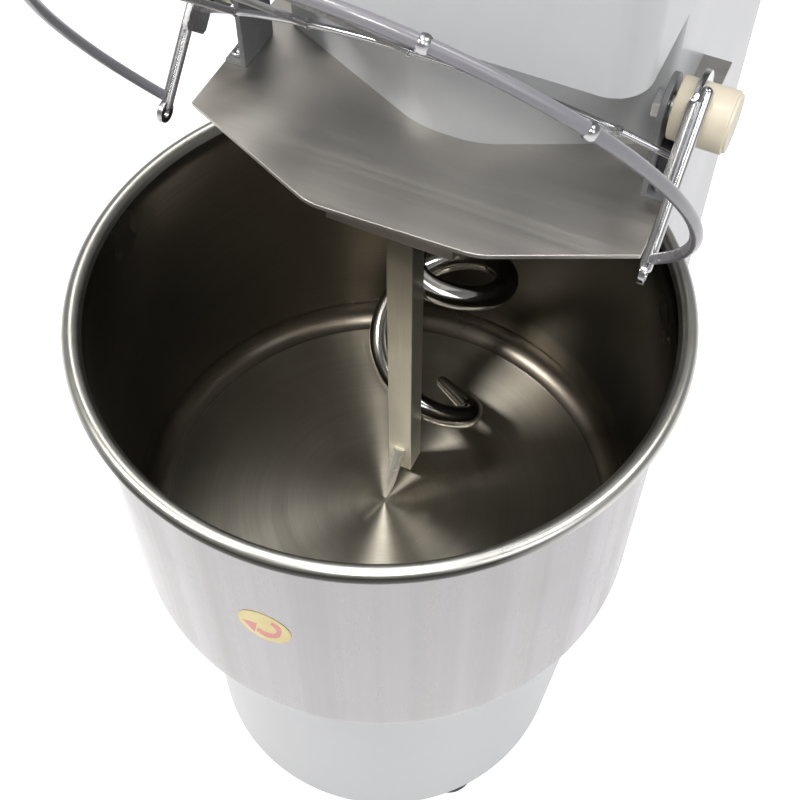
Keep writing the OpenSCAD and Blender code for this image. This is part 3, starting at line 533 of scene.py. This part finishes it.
def rounded(node, width, segments, convex_only=False):
    """The CAD piece's shape with its sharp edges rounded off, standing for it."""
    bm = bmesh.new()
    bm.from_mesh(frame["nodes"][node].data)
    bmesh.ops.remove_doubles(bm, verts=bm.verts[:], dist=2e-6)
    bmesh.ops.dissolve_degenerate(bm, dist=1e-6, edges=bm.edges[:])
    bmesh.ops.dissolve_limit(bm, angle_limit=math.radians(0.6), verts=bm.verts[:],
                             edges=bm.edges[:], delimit=set())
    sharp = [e for e in bm.edges
             if len(e.link_faces) == 2 and e.calc_face_angle(0.0) > math.radians(35.0)
             and (e.is_convex or not convex_only)]
    bevel_edges(bm, sharp, width, segments, material=-1)
    bmesh.ops.triangulate(bm, faces=[f for f in bm.faces if len(f.verts) > 4])
    ob = to_object(node + "_shell", bm, [MAT[SLOT_OF[node]]])
    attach(ob, BODY_OF[node])
    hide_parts(node)


def frames_along(path):
    """Tangents and untwisted side vectors along a path."""
    last = len(path) - 1
    tangents = [(path[min(i + 1, last)] - path[max(i - 1, 0)]).normalized()
                for i in range(last + 1)]
    side = tangents[0].orthogonal().normalized()
    sides = []
    for i, tangent in enumerate(tangents):
        if i:
            axis = tangents[i - 1].cross(tangent)
            if axis.length > 1e-9:
                angle = math.atan2(axis.length, tangents[i - 1].dot(tangent))
                side = Matrix.Rotation(angle, 3, axis.normalized()) @ side
        sides.append((side - tangent * side.dot(tangent)).normalized())
    return tangents, sides


def band_faces(rings, seg):
    """Quads joining successive rings of seg vertices."""
    return [(i * seg + k, i * seg + (k + 1) % seg, (i + 1) * seg + (k + 1) % seg,
             (i + 1) * seg + k) for i in range(rings - 1) for k in range(seg)]


def sweep(path, radii, seg, round_start=True):
    """Closed tube along a path, its far end domed and its start domed or flat."""
    def dome(point, tangent, side, radius, sign):
        rings = []
        for k in (1, 2, 3, 4):
            angle = k * math.pi / 2 / 5
            rings.append((point + tangent * sign * radius * math.sin(angle) * 0.9, tangent, side,
                          radius * math.cos(angle)))
        return rings

    tangents, sides = frames_along(path)
    rows = list(zip(path, tangents, sides, radii))
    rows += dome(*rows[-1], 1)
    if round_start:
        rows = dome(*rows[0], -1)[::-1] + rows
    verts = []
    for point, tangent, side, radius in rows:
        across = tangent.cross(side)
        for k in range(seg):
            angle = 2 * math.pi * k / seg
            verts.append(point + (side * math.cos(angle) + across * math.sin(angle)) * radius)
    faces = band_faces(len(rows), seg)
    point, tangent, _, radius = rows[0]
    start = len(verts)
    verts.append(point + (tangent * -radius * 0.35 if round_start else Vector()))
    point, tangent, _, radius = rows[-1]
    end = len(verts)
    verts.append(point + tangent * radius * 0.35)
    last = (len(rows) - 1) * seg
    for k in range(seg):
        faces.append((start, (k + 1) % seg, k))
        faces.append((end, last + k, last + (k + 1) % seg))
    return verts, faces


def lathe(profile, seg):
    """Turns (radius, height) points about Z; gives verts, faces and each face's profile step."""
    verts, rings, faces, steps = [], [], [], []
    for radius, height in profile:
        if radius < 1e-9:
            rings.append([len(verts)] * seg)
            verts.append(Vector((0, 0, height)))
        else:
            rings.append(list(range(len(verts), len(verts) + seg)))
            for k in range(seg):
                angle = 2 * math.pi * k / seg
                verts.append(Vector((radius * math.cos(angle), radius * math.sin(angle), height)))
    for i in range(len(profile) - 1):
        low, high = rings[i], rings[i + 1]
        for k in range(seg):
            after = (k + 1) % seg
            # a pole's repeated vertex is dropped, which leaves a triangle
            face = tuple(dict.fromkeys((low[k], low[after], high[after], high[k])))
            if len(face) > 2:
                faces.append(face)
                steps.append(i)
    return verts, faces, steps


def shifted(verts, x, y):
    return [v + Vector((x, y, 0)) for v in verts]


def place(verts, origin, up=(0, 0, 1)):
    """Turns verts made about +Z so that +Z points along up, then moves them."""
    turn = Vector((0, 0, 1)).rotation_difference(Vector(up).normalized())
    return [turn @ v + Vector(origin) for v in verts]


def join(parts):
    verts, faces = [], []
    for part_verts, part_faces in parts:
        first = len(verts)
        verts += part_verts
        faces += [tuple(k + first for k in face) for face in part_faces]
    return verts, faces


def lerp(start, end, t):
    return tuple(a + (b - a) * t for a, b in zip(start, end))


# ---------------------------------------------------------------- bowl
INNER_R = BOWL_R - SHEET
KNUCKLE = 0.020                       # inside radius of the bend between floor and wall
BEND_R, BEND_Z = INNER_R - KNUCKLE, FLOOR_Z + KNUCKLE
RIDGE_TOP = 0.0027
# low ridge just above the bend: how far in from the wall, height above the bend
RIDGE = [(0.0003, 0.0008), (0.00042, 0.0014), (0.0003, 0.0020), (0.0, RIDGE_TOP)]
FOLD_Z = RIM_Z - 0.0075               # where the outside of the wall meets the bead


def arc(x, z, radius, start, end, count):
    angles = [math.radians(start + (end - start) * i / count) for i in range(count + 1)]
    return [(x + radius * math.cos(a), z + radius * math.sin(a)) for a in angles]


def bowl():
    """Inside from the centre outwards and up, over the bead, and back down the outside."""
    profile = [(r, FLOOR_Z) for r in (0.0, 0.02, 0.05, 0.085, 0.12, 0.15, BEND_R - 0.004)]
    floor_end = len(profile) + 2      # the floor's finish runs two steps into the bend
    profile += arc(BEND_R, BEND_Z, KNUCKLE, -90, 0, 18)
    profile += [(INNER_R - inward, BEND_Z + rise) for inward, rise in RIDGE]
    profile += [(INNER_R, float(z)) for z in np.linspace(BEND_Z + RIDGE_TOP, RIM_Z, 16)[1:-1]]
    wall_end = len(profile)
    profile += [(INNER_R, RIM_Z - 0.0005)] + arc(BEAD_R, RIM_Z, BEAD_TUBE, 180, -150, 34)[1:]
    bead_end = len(profile)
    profile += [(BOWL_R + 0.0004, RIM_Z - 0.0055), (BOWL_R, FOLD_Z)]
    profile += [(BOWL_R, float(z)) for z in np.linspace(FOLD_Z, BEND_Z, 14)[1:]]
    profile += arc(BEND_R, BEND_Z, KNUCKLE + SHEET, 0, -90, 18)[1:]
    profile += [(0.10, FLOOR_Z - SHEET), (0.0, FLOOR_Z - SHEET)]

    def finish_of(step):
        for end, index in ((floor_end, 2), (wall_end, 1), (bead_end, 3)):
            if step < end:
                return index
        return 0

    verts, faces, steps = lathe(profile, 256)
    make("bowl_sheet", (shifted(verts, AXIS_X, AXIS_Y), faces), "bowl_unit",
         [MAT["bowl_stainless"], BOWL_INSIDE, BOWL_FLOOR, BEAD], ["bowl"], 40.0,
         [finish_of(step) for step in steps])


bowl()

# ---------------------------------------------------------------- label on the bowl
label_low, label_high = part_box("rotation_label")
label_mid = (label_low + label_high) / 2
LABEL_ANGLE = math.atan2(label_mid.y - AXIS_Y, label_mid.x - AXIS_X)
LABEL_Z = (label_low.z + label_high.z) / 2
LABEL_R = 0.0195
FILM_LIFT = (0.00004, 0.00034)        # underside and top of the film, off the wall
PRINT_LIFT = (0.0003, 0.00042)
# shaft of the arrow, from upper right round below to the left: inner and outer edge (x, z) in mm
ARROW = [((5.6, 8.2), (6.6, 12.4)), ((7.6, 6.2), (10.8, 10.8)), ((9.0, 2.9), (12.9, 6.0)),
         ((9.1, -0.7), (12.4, -1.5)), ((7.8, -3.8), (9.9, -8.4)), ((5.0, -5.9), (5.0, -12.8)),
         ((0.2, -6.4), (-0.6, -14.2)), ((-5.0, -4.2), (-6.6, -11.2))]
# head of the arrow: its upper and lower edge, each from base to tip, (x, z) in metres
HEAD_UPPER = ((-0.0048, 0.0022), (-0.0160, -0.0010))
HEAD_LOWER = ((-0.0082, -0.0140), (-0.0160, -0.0014))


def on_wall(x, z, lift):
    """A flat point, x to the right as seen from outside, laid on the wall."""
    angle = LABEL_ANGLE + x / BOWL_R
    radius = BOWL_R + lift
    return Vector((AXIS_X + radius * math.cos(angle), AXIS_Y + radius * math.sin(angle),
                   LABEL_Z + z))


def film(name, rows, lifts, mat):
    """Rows of points across a flat shape become a closed film on the wall."""
    height, width = len(rows), len(rows[0])
    under = height * width
    verts = [on_wall(x, z, lift) for lift in lifts[::-1] for row in rows for x, z in row]
    faces = []
    for i in range(height - 1):
        for k in range(width - 1):
            a = i * width + k
            faces.append((a, a + 1, a + width + 1, a + width))
            b = a + under
            faces.append((b, b + width, b + width + 1, b + 1))
    border = list(range(width))
    border += [i * width + width - 1 for i in range(1, height)]
    border += [(height - 1) * width + k for k in range(width - 2, -1, -1)]
    border += [i * width for i in range(height - 2, 0, -1)]
    for a, b in zip(border, border[1:] + border[:1]):
        faces.append((a, a + under, b + under, b))
    return make(name, (verts, faces), "bowl_unit", [mat])


def disc_rows():
    rows = []
    for i in range(29):
        x = LABEL_R * math.cos(math.pi * (1 - i / 28))
        half = max(math.sqrt(max(LABEL_R ** 2 - x * x, 0)), 0.0004)
        rows.append([(x, half * (2 * k / 8 - 1)) for k in range(9)])
    return rows


def across(start, end):
    return [tuple(a + (b - a) * k / 3 for a, b in zip(start, end)) for k in range(4)]


def arrow_edge(index, edge, t):
    """Catmull-Rom point, in metres, between station index and the next."""
    near = [ARROW[min(max(index + k, 0), len(ARROW) - 1)][edge] for k in (-1, 0, 1, 2)]
    return tuple(0.0005 * (2 * b + (c - a) * t + (2 * a - 5 * b + 4 * c - d) * t * t
                           + (3 * b - a - 3 * c + d) * t ** 3) for a, b, c, d in zip(*near))


def shaft_rows():
    """Five steps between stations."""
    stations = [(i // 5, i % 5 / 5) for i in range(35)] + [(6, 1.0)]
    return [across(arrow_edge(i, 0, t), arrow_edge(i, 1, t)) for i, t in stations]


disc = film("rotation_label_film", disc_rows(), FILM_LIFT, MAT["label_film"])
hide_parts("rotation_label")
film("rotation_label_arrow", shaft_rows(), PRINT_LIFT, PRINT_RED)
film("rotation_label_arrow_head",
     [across(lerp(*HEAD_UPPER, i / 6), lerp(*HEAD_LOWER, i / 6)) for i in range(7)],
     PRINT_LIFT, PRINT_RED)

# ---------------------------------------------------------------- spiral hook
# millimetres and degrees, about the spindle, height from the bead's centre
SPINDLE_Y = 110.0                     # spindle behind the bowl's axis
COIL_R, COIL_PITCH, COIL_TOP = 49, 156, -51.3
COIL_START, COIL_END = 285, 680
CURL_R, CURL_TURN, CURL_DROP = 12, 102.4, 9
CURL_HEADING = COIL_END + 90 - 720    # heading of the rod where the coil ends
FINGER_RUN, FINGER_DROP = 36, 5
ROD_R, FINGER_R, FINGER_TIP_R = 9.6, 8.2, 5.1


def coil(degrees):
    angle = math.radians(degrees)
    return Vector((COIL_R * math.cos(angle), COIL_R * math.sin(angle),
                   COIL_TOP - COIL_PITCH * (degrees - COIL_START) / 360))


def hook_path():
    """Centre line and radii: shank, coil, tight curl and straight finger."""
    top, below, start = Vector((0, 0, -4)), Vector((0, 0, -26)), coil(COIL_START)
    angle = math.radians(COIL_START)
    tangent = Vector((-math.sin(angle), math.cos(angle), -COIL_PITCH / (2 * math.pi * COIL_R)))
    lead = start - 45 * tangent.normalized()
    coil_end = coil(COIL_END)
    angle = math.radians(CURL_HEADING)
    curl_x = coil_end.x - CURL_R * math.sin(angle)
    curl_y = coil_end.y + CURL_R * math.cos(angle)

    def shank(t):
        return (top * (1 - t) ** 3 + below * 3 * t * (1 - t) ** 2 + lead * 3 * t * t * (1 - t)
                + start * t ** 3)

    def curl(t):
        heading = math.radians(CURL_HEADING + CURL_TURN * t)
        return Vector((curl_x + CURL_R * math.sin(heading), curl_y - CURL_R * math.cos(heading),
                       coil_end.z - CURL_DROP * t))

    angle = math.radians(CURL_HEADING + CURL_TURN)
    finger = Vector((FINGER_RUN * math.cos(angle), FINGER_RUN * math.sin(angle), -FINGER_DROP))
    path = [shank(i / 30) for i in range(30)]
    path += [coil(COIL_START + i * (COIL_END - COIL_START) / 140) for i in range(140)]
    path += [curl(i / 24) for i in range(24)]
    path += [curl(1) + i / 14 * finger for i in range(15)]
    radii = [ROD_R] * 170
    radii += [ROD_R - (ROD_R - FINGER_R) * i / 24 for i in range(24)]
    radii += [FINGER_R - (FINGER_R - FINGER_TIP_R) * (i / 14) for i in range(15)]
    return [rim_point(p.x, p.y + SPINDLE_Y, p.z) for p in path], [r / 1000 for r in radii]


def hook_boss():
    """Turned boss with a round recess in its top."""
    low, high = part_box("hook_flange")
    radius, base, top = (high.x - low.x) / 2, low.z, high.z
    bore, seat = 0.0155, top - 0.016
    profile = [(0.0, base), (radius - 0.006, base), (radius - 0.0035, base + 0.0006),
               (radius - 0.001, base + 0.002), (radius, base + 0.005), (radius, top - 0.0015),
               (radius - 0.0015, top), (bore, top), (bore, seat), (0.0, seat)]
    verts, faces, _ = lathe(profile, 72)
    verts = shifted(verts, (low.x + high.x) / 2, (low.y + high.y) / 2)
    make("hook_boss", (verts, faces), "hook_spindle", [MAT["polished_stainless"]],
         ["hook_flange"], 28.0)


make("hook_coil", sweep(*hook_path(), 40, round_start=False), "hook_spindle",
     [MAT["polished_stainless"]], ["spiral_hook"], 50.0)
hook_boss()

# ---------------------------------------------------------------- rounded CAD pieces
# piece, width of the rounding, its segments
ROUNDED = [
    ("splash_plate", 0.0006, 3), ("nose_bracket", 0.0012, 3), ("breaker_bar", 0.0009, 3),
    ("head_casing", 0.0010, 3), ("head_lid", 0.0016, 3), ("column_casing", 0.0010, 3),
    ("base_cover", 0.0014, 3), ("rear_cover", 0.0005, 2), ("bottom_plate", 0.0006, 2),
    ("bracket_bolts", 0.0006, 2), ("foot_pads", 0.0020, 3), ("levelling_feet", 0.0006, 2),
    ("guard_brackets", 0.0006, 2), ("guard_switch", 0.0010, 2), ("guard_hubs", 0.0014, 3),
    ("guard_pivot_pins", 0.0006, 2), ("control_panel", 0.0006, 2), ("start_button", 0.0012, 3),
    ("stop_button", 0.0012, 3), ("estop_button", 0.0016, 3), ("timer_knob", 0.0012, 3),
    ("speed_knob", 0.0012, 3), ("main_switch", 0.0014, 3), ("power_cord", 0.0006, 2),
]
CONVEX_ONLY = ("start_button", "stop_button")
for node, width, segments in ROUNDED:
    rounded(node, width, segments, node in CONVEX_ONLY)


# ---------------------------------------------------------------- finger below the breaker bar
def breaker_point():
    """Slanting pin that tapers towards its lower end."""
    radius, taper, taper_from = 0.0048, 0.42, 10
    top = rim_point(2.0, 25.9, -219.0)
    run = rim_point(1.0, 0.4, -254.6) - top
    path = [top + run * (i / 16) for i in range(17)]
    radii = [radius * (1 - taper * (max(i - taper_from, 0) / 6) ** 1.3) for i in range(17)]
    make("breaker_point", sweep(path, radii, 28, round_start=False), "chassis", [ground_pin()],
         ["breaker_finger"], 50.0)


breaker_point()

# ---------------------------------------------------------------- guard
# millimetres in the guard's own frame, whose origin is on the hinge axis
hubs_low, hubs_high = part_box("guard_hubs")
HINGE = Vector((AXIS_X, (hubs_low.y + hubs_high.y) / 2, (hubs_low.z + hubs_high.z) / 2))
GUARD_RAISE = 59.0
GUARD_TURN = Matrix.Rotation(math.radians(180 - GUARD_RAISE), 3, "X")
RING_R, RING_Y, RING_Z = 194.0, 99.2, 91.5
RING_END_Y = -1.6                     # the ring is an open arc that stops here
ARM_Y, ARM_Z = 15.6, 33.8
ARM = Vector((165, ARM_Y, ARM_Z))     # point on the +X arm
LEAN, RISE = 0.258, 0.966             # sine and cosine of the arm's lean
ARM_DIR = Vector((0, -LEAN, RISE))
BOW_R, BOW_BACK = 281, 233            # radius of the bow wire, its centre's distance behind ARM_Y
PLATE = 4.0                           # thickness of the hinge plates
WIRE_R = 0.00225                      # metres, as are the sweeps' other radii


def guard_point(x, y, z):
    return HINGE + GUARD_TURN @ (Vector((x, y, z)) / 1000)


def ring_point(angle):
    return RING_R * math.cos(angle), RING_Y + RING_R * math.sin(angle), RING_Z


def bow_point(x):
    return x, ARM_Y - BOW_BACK + math.sqrt(BOW_R * BOW_R - x * x), ARM_Z


def guard_ring():
    """The coated ring and a chrome rod at each side."""
    first = math.asin((RING_END_Y - RING_Y) / RING_R)
    ring = [guard_point(*ring_point(first + (math.pi - 2 * first) * i / 160))
            for i in range(161)]
    parts = [sweep(ring, [0.0035] * 161, 24)]
    low, high = ARM - 40 * ARM_DIR, ARM + 66 * ARM_DIR
    rod = [low.lerp(high, i / 20) for i in range(21)]
    for side in (1, -1):
        points = [guard_point(side * p.x, p.y, p.z) for p in rod]
        parts.append(sweep(points, [0.004] * 21, 24))
    verts, faces = join(parts)
    coated = len(parts[0][1])
    coat = plastic("guard_ring_coat", (0.185, 0.185, 0.207), rough=0.32, grain=300.0,
                   relief=0.05, coat=0.4)
    make("guard_ring_rods", (verts, faces), "guard", [coat, MAT["guard_chrome"]],
         angle=50.0, face_mats=[0] * coated + [1] * (len(faces) - coated))


def circle(radius, count, x=0.0, y=0.0):
    return [(x + radius * math.cos(2 * math.pi * k / count),
             y + radius * math.sin(2 * math.pi * k / count)) for k in range(count)]


def plate_with_holes(outline, holes):
    """Flat solid plate; holes are (x, y, radius)."""
    bm = bmesh.new()
    edges = []
    for loop in [outline] + [circle(radius, 24, x, y) for x, y, radius in holes]:
        verts = [bm.verts.new((x, y, 0)) for x, y in loop]
        edges += [bm.edges.new((verts[i], verts[(i + 1) % len(verts)]))
                  for i in range(len(verts))]
    bmesh.ops.triangle_fill(bm, use_beauty=True, use_dissolve=False, edges=edges)
    grown = bmesh.ops.extrude_face_region(bm, geom=bm.faces[:])["geom"]
    bmesh.ops.translate(bm, vec=(0, 0, PLATE),
                        verts=[g for g in grown if isinstance(g, bmesh.types.BMVert)])
    bmesh.ops.recalc_face_normals(bm, faces=bm.faces[:])
    return bm


TAB = [(-14, -34), (12, -34), (13, -30), (13, 12), (10, 15), (-11, 15), (-14, 12)]
EYELET = ARM + 69 * ARM_DIR
# outline, holes, distance of the inner face from the middle, flat point to guard (y, z)
HINGE_PLATES = [
    # round plate on the hinge axis
    (circle(26, 72), [(0, 0, 19.6)], 158, lambda x, y: (x, y)),
    # tab with two screw holes along the arm
    (TAB, [(-6, -26, 2.0), (-6, -14, 2.0)], 158,
     lambda x, y: (ARM.y + x * RISE - y * LEAN, ARM.z + x * LEAN + y * RISE)),
    # eyelet just past the end of the rod
    (circle(7.5, 48), [(0, 1.5, 2.7)], 163, lambda x, y: (EYELET.y + x, EYELET.z + y)),
]


def guard_plates():
    whole = bmesh.new()
    for side in (1, -1):
        for outline, holes, inner_x, locate in HINGE_PLATES:
            bm = plate_with_holes(outline, holes)
            for v in bm.verts:
                v.co = guard_point(side * (inner_x + v.co.z), *locate(v.co.x, v.co.y))
            bmesh.ops.recalc_face_normals(bm, faces=bm.faces[:])
            mesh = bpy.data.meshes.new("plate")
            bm.to_mesh(mesh)
            bm.free()
            whole.from_mesh(mesh)
            bpy.data.meshes.remove(mesh)
    sharp = [e for e in whole.edges
             if len(e.link_faces) == 2 and e.calc_face_angle(0.0) > math.radians(50)]
    bevel_edges(whole, sharp, 0.0005, 2)
    ob = to_object("guard_hinge_plates", whole, [MAT["guard_chrome"]])
    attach(ob, "guard")
    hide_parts("guard_ring")


# wires from the bow to the ring: x on the bow, angle on the ring
STAYS = [(0, 90), (68, 66), (126, 41), (-68, 114), (-126, 139)]


def guard_wires():
    bow = [guard_point(*bow_point(float(x))) for x in np.linspace(-163, 163, 121)]
    parts = [sweep(bow, [WIRE_R] * 121, 18)]
    for x, degrees in STAYS:
        start, end = Vector(bow_point(x)), Vector(ring_point(math.radians(degrees)))
        points = [guard_point(*start.lerp(end, i / 24)) for i in range(25)]
        parts.append(sweep(points, [WIRE_R] * 25, 18))
        # weld beads at both ends
        for spot, size in ((start, 0.0034), (end, 0.0046)):
            verts, faces, _ = lathe([(0.0, -size), (size * 0.6, -size * 0.8), (size, 0.0),
                                     (size * 0.6, size * 0.8), (0.0, size)], 16)
            along = guard_point(*end) - guard_point(*start)
            parts.append((place(verts, guard_point(*spot), along), faces))
    make("guard_wire_frame", join(parts), "guard", [MAT["guard_chrome"]],
         ["guard_wires"], 50.0)


guard_ring()
guard_plates()
guard_wires()


# ---------------------------------------------------------------- screws with a hexagon recess
def screw_head(radius, height):
    seg = 24
    # hexagonal or round, radius (across the flats for a hexagon), height
    rings = [(False, radius, 0.0), (False, radius, height * 0.55),
             (False, radius * 0.93, height * 0.85), (False, radius * 0.78, height),
             (True, radius * 0.46, height), (True, radius * 0.43, height * 0.35)]
    verts = []
    for hexagonal, size, z in rings:
        for k in range(seg):
            angle = 2 * math.pi * k / seg
            off_flat = (angle + math.pi / 6) % (math.pi / 3) - math.pi / 6
            reach = size / math.cos(off_flat) if hexagonal else size
            verts.append(Vector((reach * math.cos(angle), reach * math.sin(angle), z)))
    faces = band_faces(len(rings), seg)
    faces.append(tuple(range(seg - 1, -1, -1)))
    faces.append(tuple(range((len(rings) - 1) * seg, len(rings) * seg)))
    return verts, faces


def islands(node):
    """Low and high corner of each separate solid of a CAD piece."""
    bm = bmesh.new()
    bm.from_mesh(frame["nodes"][node].data)
    bmesh.ops.remove_doubles(bm, verts=bm.verts[:], dist=1e-5)
    seen, boxes = set(), []
    for first in bm.verts:
        if first.index in seen:
            continue
        stack, group = [first], []
        seen.add(first.index)
        while stack:
            vert = stack.pop()
            group.append(tuple(vert.co))
            for edge in vert.link_edges:
                other = edge.other_vert(vert)
                if other.index not in seen:
                    seen.add(other.index)
                    stack.append(other)
        boxes.append((Vector(map(min, *group)), Vector(map(max, *group))))
    bm.free()
    return boxes


def cover_screws():
    """A screw thin along Y faces +Y, any other faces up."""
    parts = []
    for low, high in islands("cover_screws"):
        size, mid = high - low, (low + high) / 2
        if size.y < size.x * 0.8 and size.y < size.z * 0.8:
            verts, faces = screw_head(size.x / 2, size.y)
            parts.append((place(verts, (mid.x, low.y, mid.z), (0, 1, 0)), faces))
        else:
            verts, faces = screw_head(size.x / 2, size.z)
            parts.append((place(verts, (mid.x, mid.y, low.z)), faces))
    make("cover_screw_heads", join(parts), "chassis", [MAT["machined_steel"]],
         ["cover_screws"], 30.0)


cover_screws()

# ---------------------------------------------------------------- panel print and lamp
PANEL_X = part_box("head_casing")[1].x + 0.002
BOX_FACES = [(3, 2, 1, 0), (4, 5, 6, 7), (0, 1, 5, 4), (1, 2, 6, 5), (2, 3, 7, 6), (3, 0, 4, 7)]


def dial_marks(knob, count, start, end, inner, outer, half_width):
    """Raised marks round a knob, from start to end degrees, every other one longer."""
    low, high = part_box(knob)
    centre = Vector((PANEL_X, (low.y + high.y) / 2, (low.z + high.z) / 2))
    parts = []
    for i in range(count):
        angle = math.radians(start + (end - start) * i / (count - 1))
        along = Vector((0, math.cos(angle), math.sin(angle)))
        side = Vector((0, -math.sin(angle), math.cos(angle))) * half_width
        far = outer + (0.0012 if i % 2 == 0 else 0.0)
        verts = [centre + along * inner - side, centre + along * far - side,
                 centre + along * far + side, centre + along * inner + side]
        parts.append((verts + [v + Vector((0.00025, 0, 0)) for v in verts], BOX_FACES))
    return parts


marks = dial_marks("timer_knob", count=13, start=-60, end=240, inner=0.0178, outer=0.0200,
                   half_width=0.00035)
marks += dial_marks("speed_knob", count=3, start=45, end=135, inner=0.0158, outer=0.0182,
                    half_width=0.0005)
make("panel_print", join(marks), "chassis", [PRINT_WHITE])

# domed lens: radius, height off the panel
LAMP = [(0.0, 0.0035), (0.0052, 0.0035), (0.0052, 0.0046), (0.0046, 0.0062), (0.0030, 0.0074),
        (0.0, 0.0079)]
lamp_verts, lamp_faces, _ = lathe(LAMP, 32)
lamp_verts = place(lamp_verts, (PANEL_X, AXIS_Y + 0.252, 0.795), (1, 0, 0))
make("panel_lamp", (lamp_verts, lamp_faces), "chassis", [LENS], angle=40.0)


# ---------------------------------------------------------------- stage, lights and camera
def pale_floor():
    """Glowing floor, dimmer to diffuse rays so that it throws less light on the machine."""
    mat = Material("pale_floor")
    stain = mat.noise(mat.position(), scale=3.0, detail=4.0)
    color = mat.patch((0.88, 0.875, 0.88), (0.84, 0.835, 0.84), stain, span=(0.3, 0.7))
    diffuse = mat.source("LightPath", "Is Diffuse Ray")
    return mat.finish(
        Base_Color=mat.mix(0.55, color, (0.5, 0.5, 0.5)), Roughness=0.85,
        Emission_Color=(0.97, 0.96, 0.98, 1.0),
        Emission_Strength=mat.ramp(diffuse, (0.0, 1.0), to=(0.74, 0.22)))


def stage_floor(half=9.0):
    mesh = bpy.data.meshes.new("stage_floor")
    corners = [(-half, -half, 0), (half, -half, 0), (half, half, 0), (-half, half, 0)]
    mesh.from_pydata(corners, [], [(0, 1, 2, 3)])
    mesh.materials.append(pale_floor())
    floor = bpy.data.objects.new("stage_floor", mesh)
    scene.collection.objects.link(floor)


BOWL_MID = (AXIS_X, AXIS_Y, FLOOR_Z)
# name, place, target, side of the square, watts, colour
LIGHTS = [
    ("top_back", (-0.75, 0.75, 2.75), (0.0, -0.30, 0.55), 1.0, 14, (1.0, 0.99, 0.97)),
    ("right_back", (1.05, 0.45, 2.55), (0.0, -0.20, 0.60), 0.9, 15, (1.0, 0.99, 0.97)),
    ("overhead", (-0.06, -0.36, 2.75), BOWL_MID, 0.34, 18, (1.0, 0.985, 0.95)),
    ("front_high", (0.50, -1.30, 2.35), BOWL_MID, 0.40, 20, (1.0, 0.97, 0.91)),
    ("front_left", (-1.22, -1.00, 2.25), BOWL_MID, 0.28, 25, (1.0, 0.97, 0.92)),
    ("fill_right", (1.8, -0.9, 1.8), (0, 0, 0.5), 1.1, 11, (0.96, 0.98, 1.0)),
]


def area_light(name, spot, target, size, energy, color):
    light = bpy.data.lights.new(name, "AREA")
    light.energy = energy
    light.color = color
    light.shape = "RECTANGLE"
    light.size = size
    light.size_y = size
    ob = bpy.data.objects.new(name, light)
    ob.location = spot
    ob.rotation_mode = "QUATERNION"
    ob.rotation_quaternion = (Vector(target) - Vector(spot)).to_track_quat("-Z", "Y")
    scene.collection.objects.link(ob)


def studio_world():
    """Near white to the camera; lights the machine with a grey that dims upwards."""
    scene.world = bpy.data.worlds.new("studio")
    sky = Graph(scene.world)
    output = sky.node("OutputWorld")
    up = sky.part(sky.source("TexCoord", "Generated"), 2)
    level = sky.ramp(up, (-0.1, 0.8), to=(0.40, 0.10))
    grey = sky.node("CombineColor", {0: level, 1: level, 2: sky.times(level, 1.01)}).outputs[0]
    lit = sky.node("Background", {0: grey, 1: 1.0}).outputs[0]
    seen = sky.node("Background", {0: (0.985, 0.985, 0.99, 1.0), 1: 1.0}).outputs[0]
    camera_ray = sky.source("LightPath", "Is Camera Ray")
    both = sky.node("MixShader", {0: camera_ray, 1: lit, 2: seen}).outputs[0]
    sky.feed(output, {0: both})


def camera():
    """Looks down into the bowl from the front, on the +X side."""
    data = bpy.data.cameras.new("photo_view")
    data.sensor_width = 36.0
    data.lens = 58.725
    data.shift_y = -0.00125
    data.clip_start = 0.01
    ob = bpy.data.objects.new("photo_view", data)
    scene.collection.objects.link(ob)
    scene.camera = ob
    right = Vector((0.9067, 0.4217, -0.0013)).normalized()
    forward = Vector((-0.2429, 0.5197, -0.8191)).normalized()
    up = right.cross(forward).normalized()
    right = forward.cross(up).normalized()    # squared up to the other two
    turn = Matrix((right, up, -forward)).transposed()
    ob.matrix_world = Matrix.Translation(rim_point(247.95, -499.49, 679.38)) @ turn.to_4x4()


stage_floor()
for light in LIGHTS:
    area_light(*light)
studio_world()
scene.view_settings.view_transform = "Standard"
scene.view_settings.look = "None"
scene.view_settings.exposure = 0.0
camera()
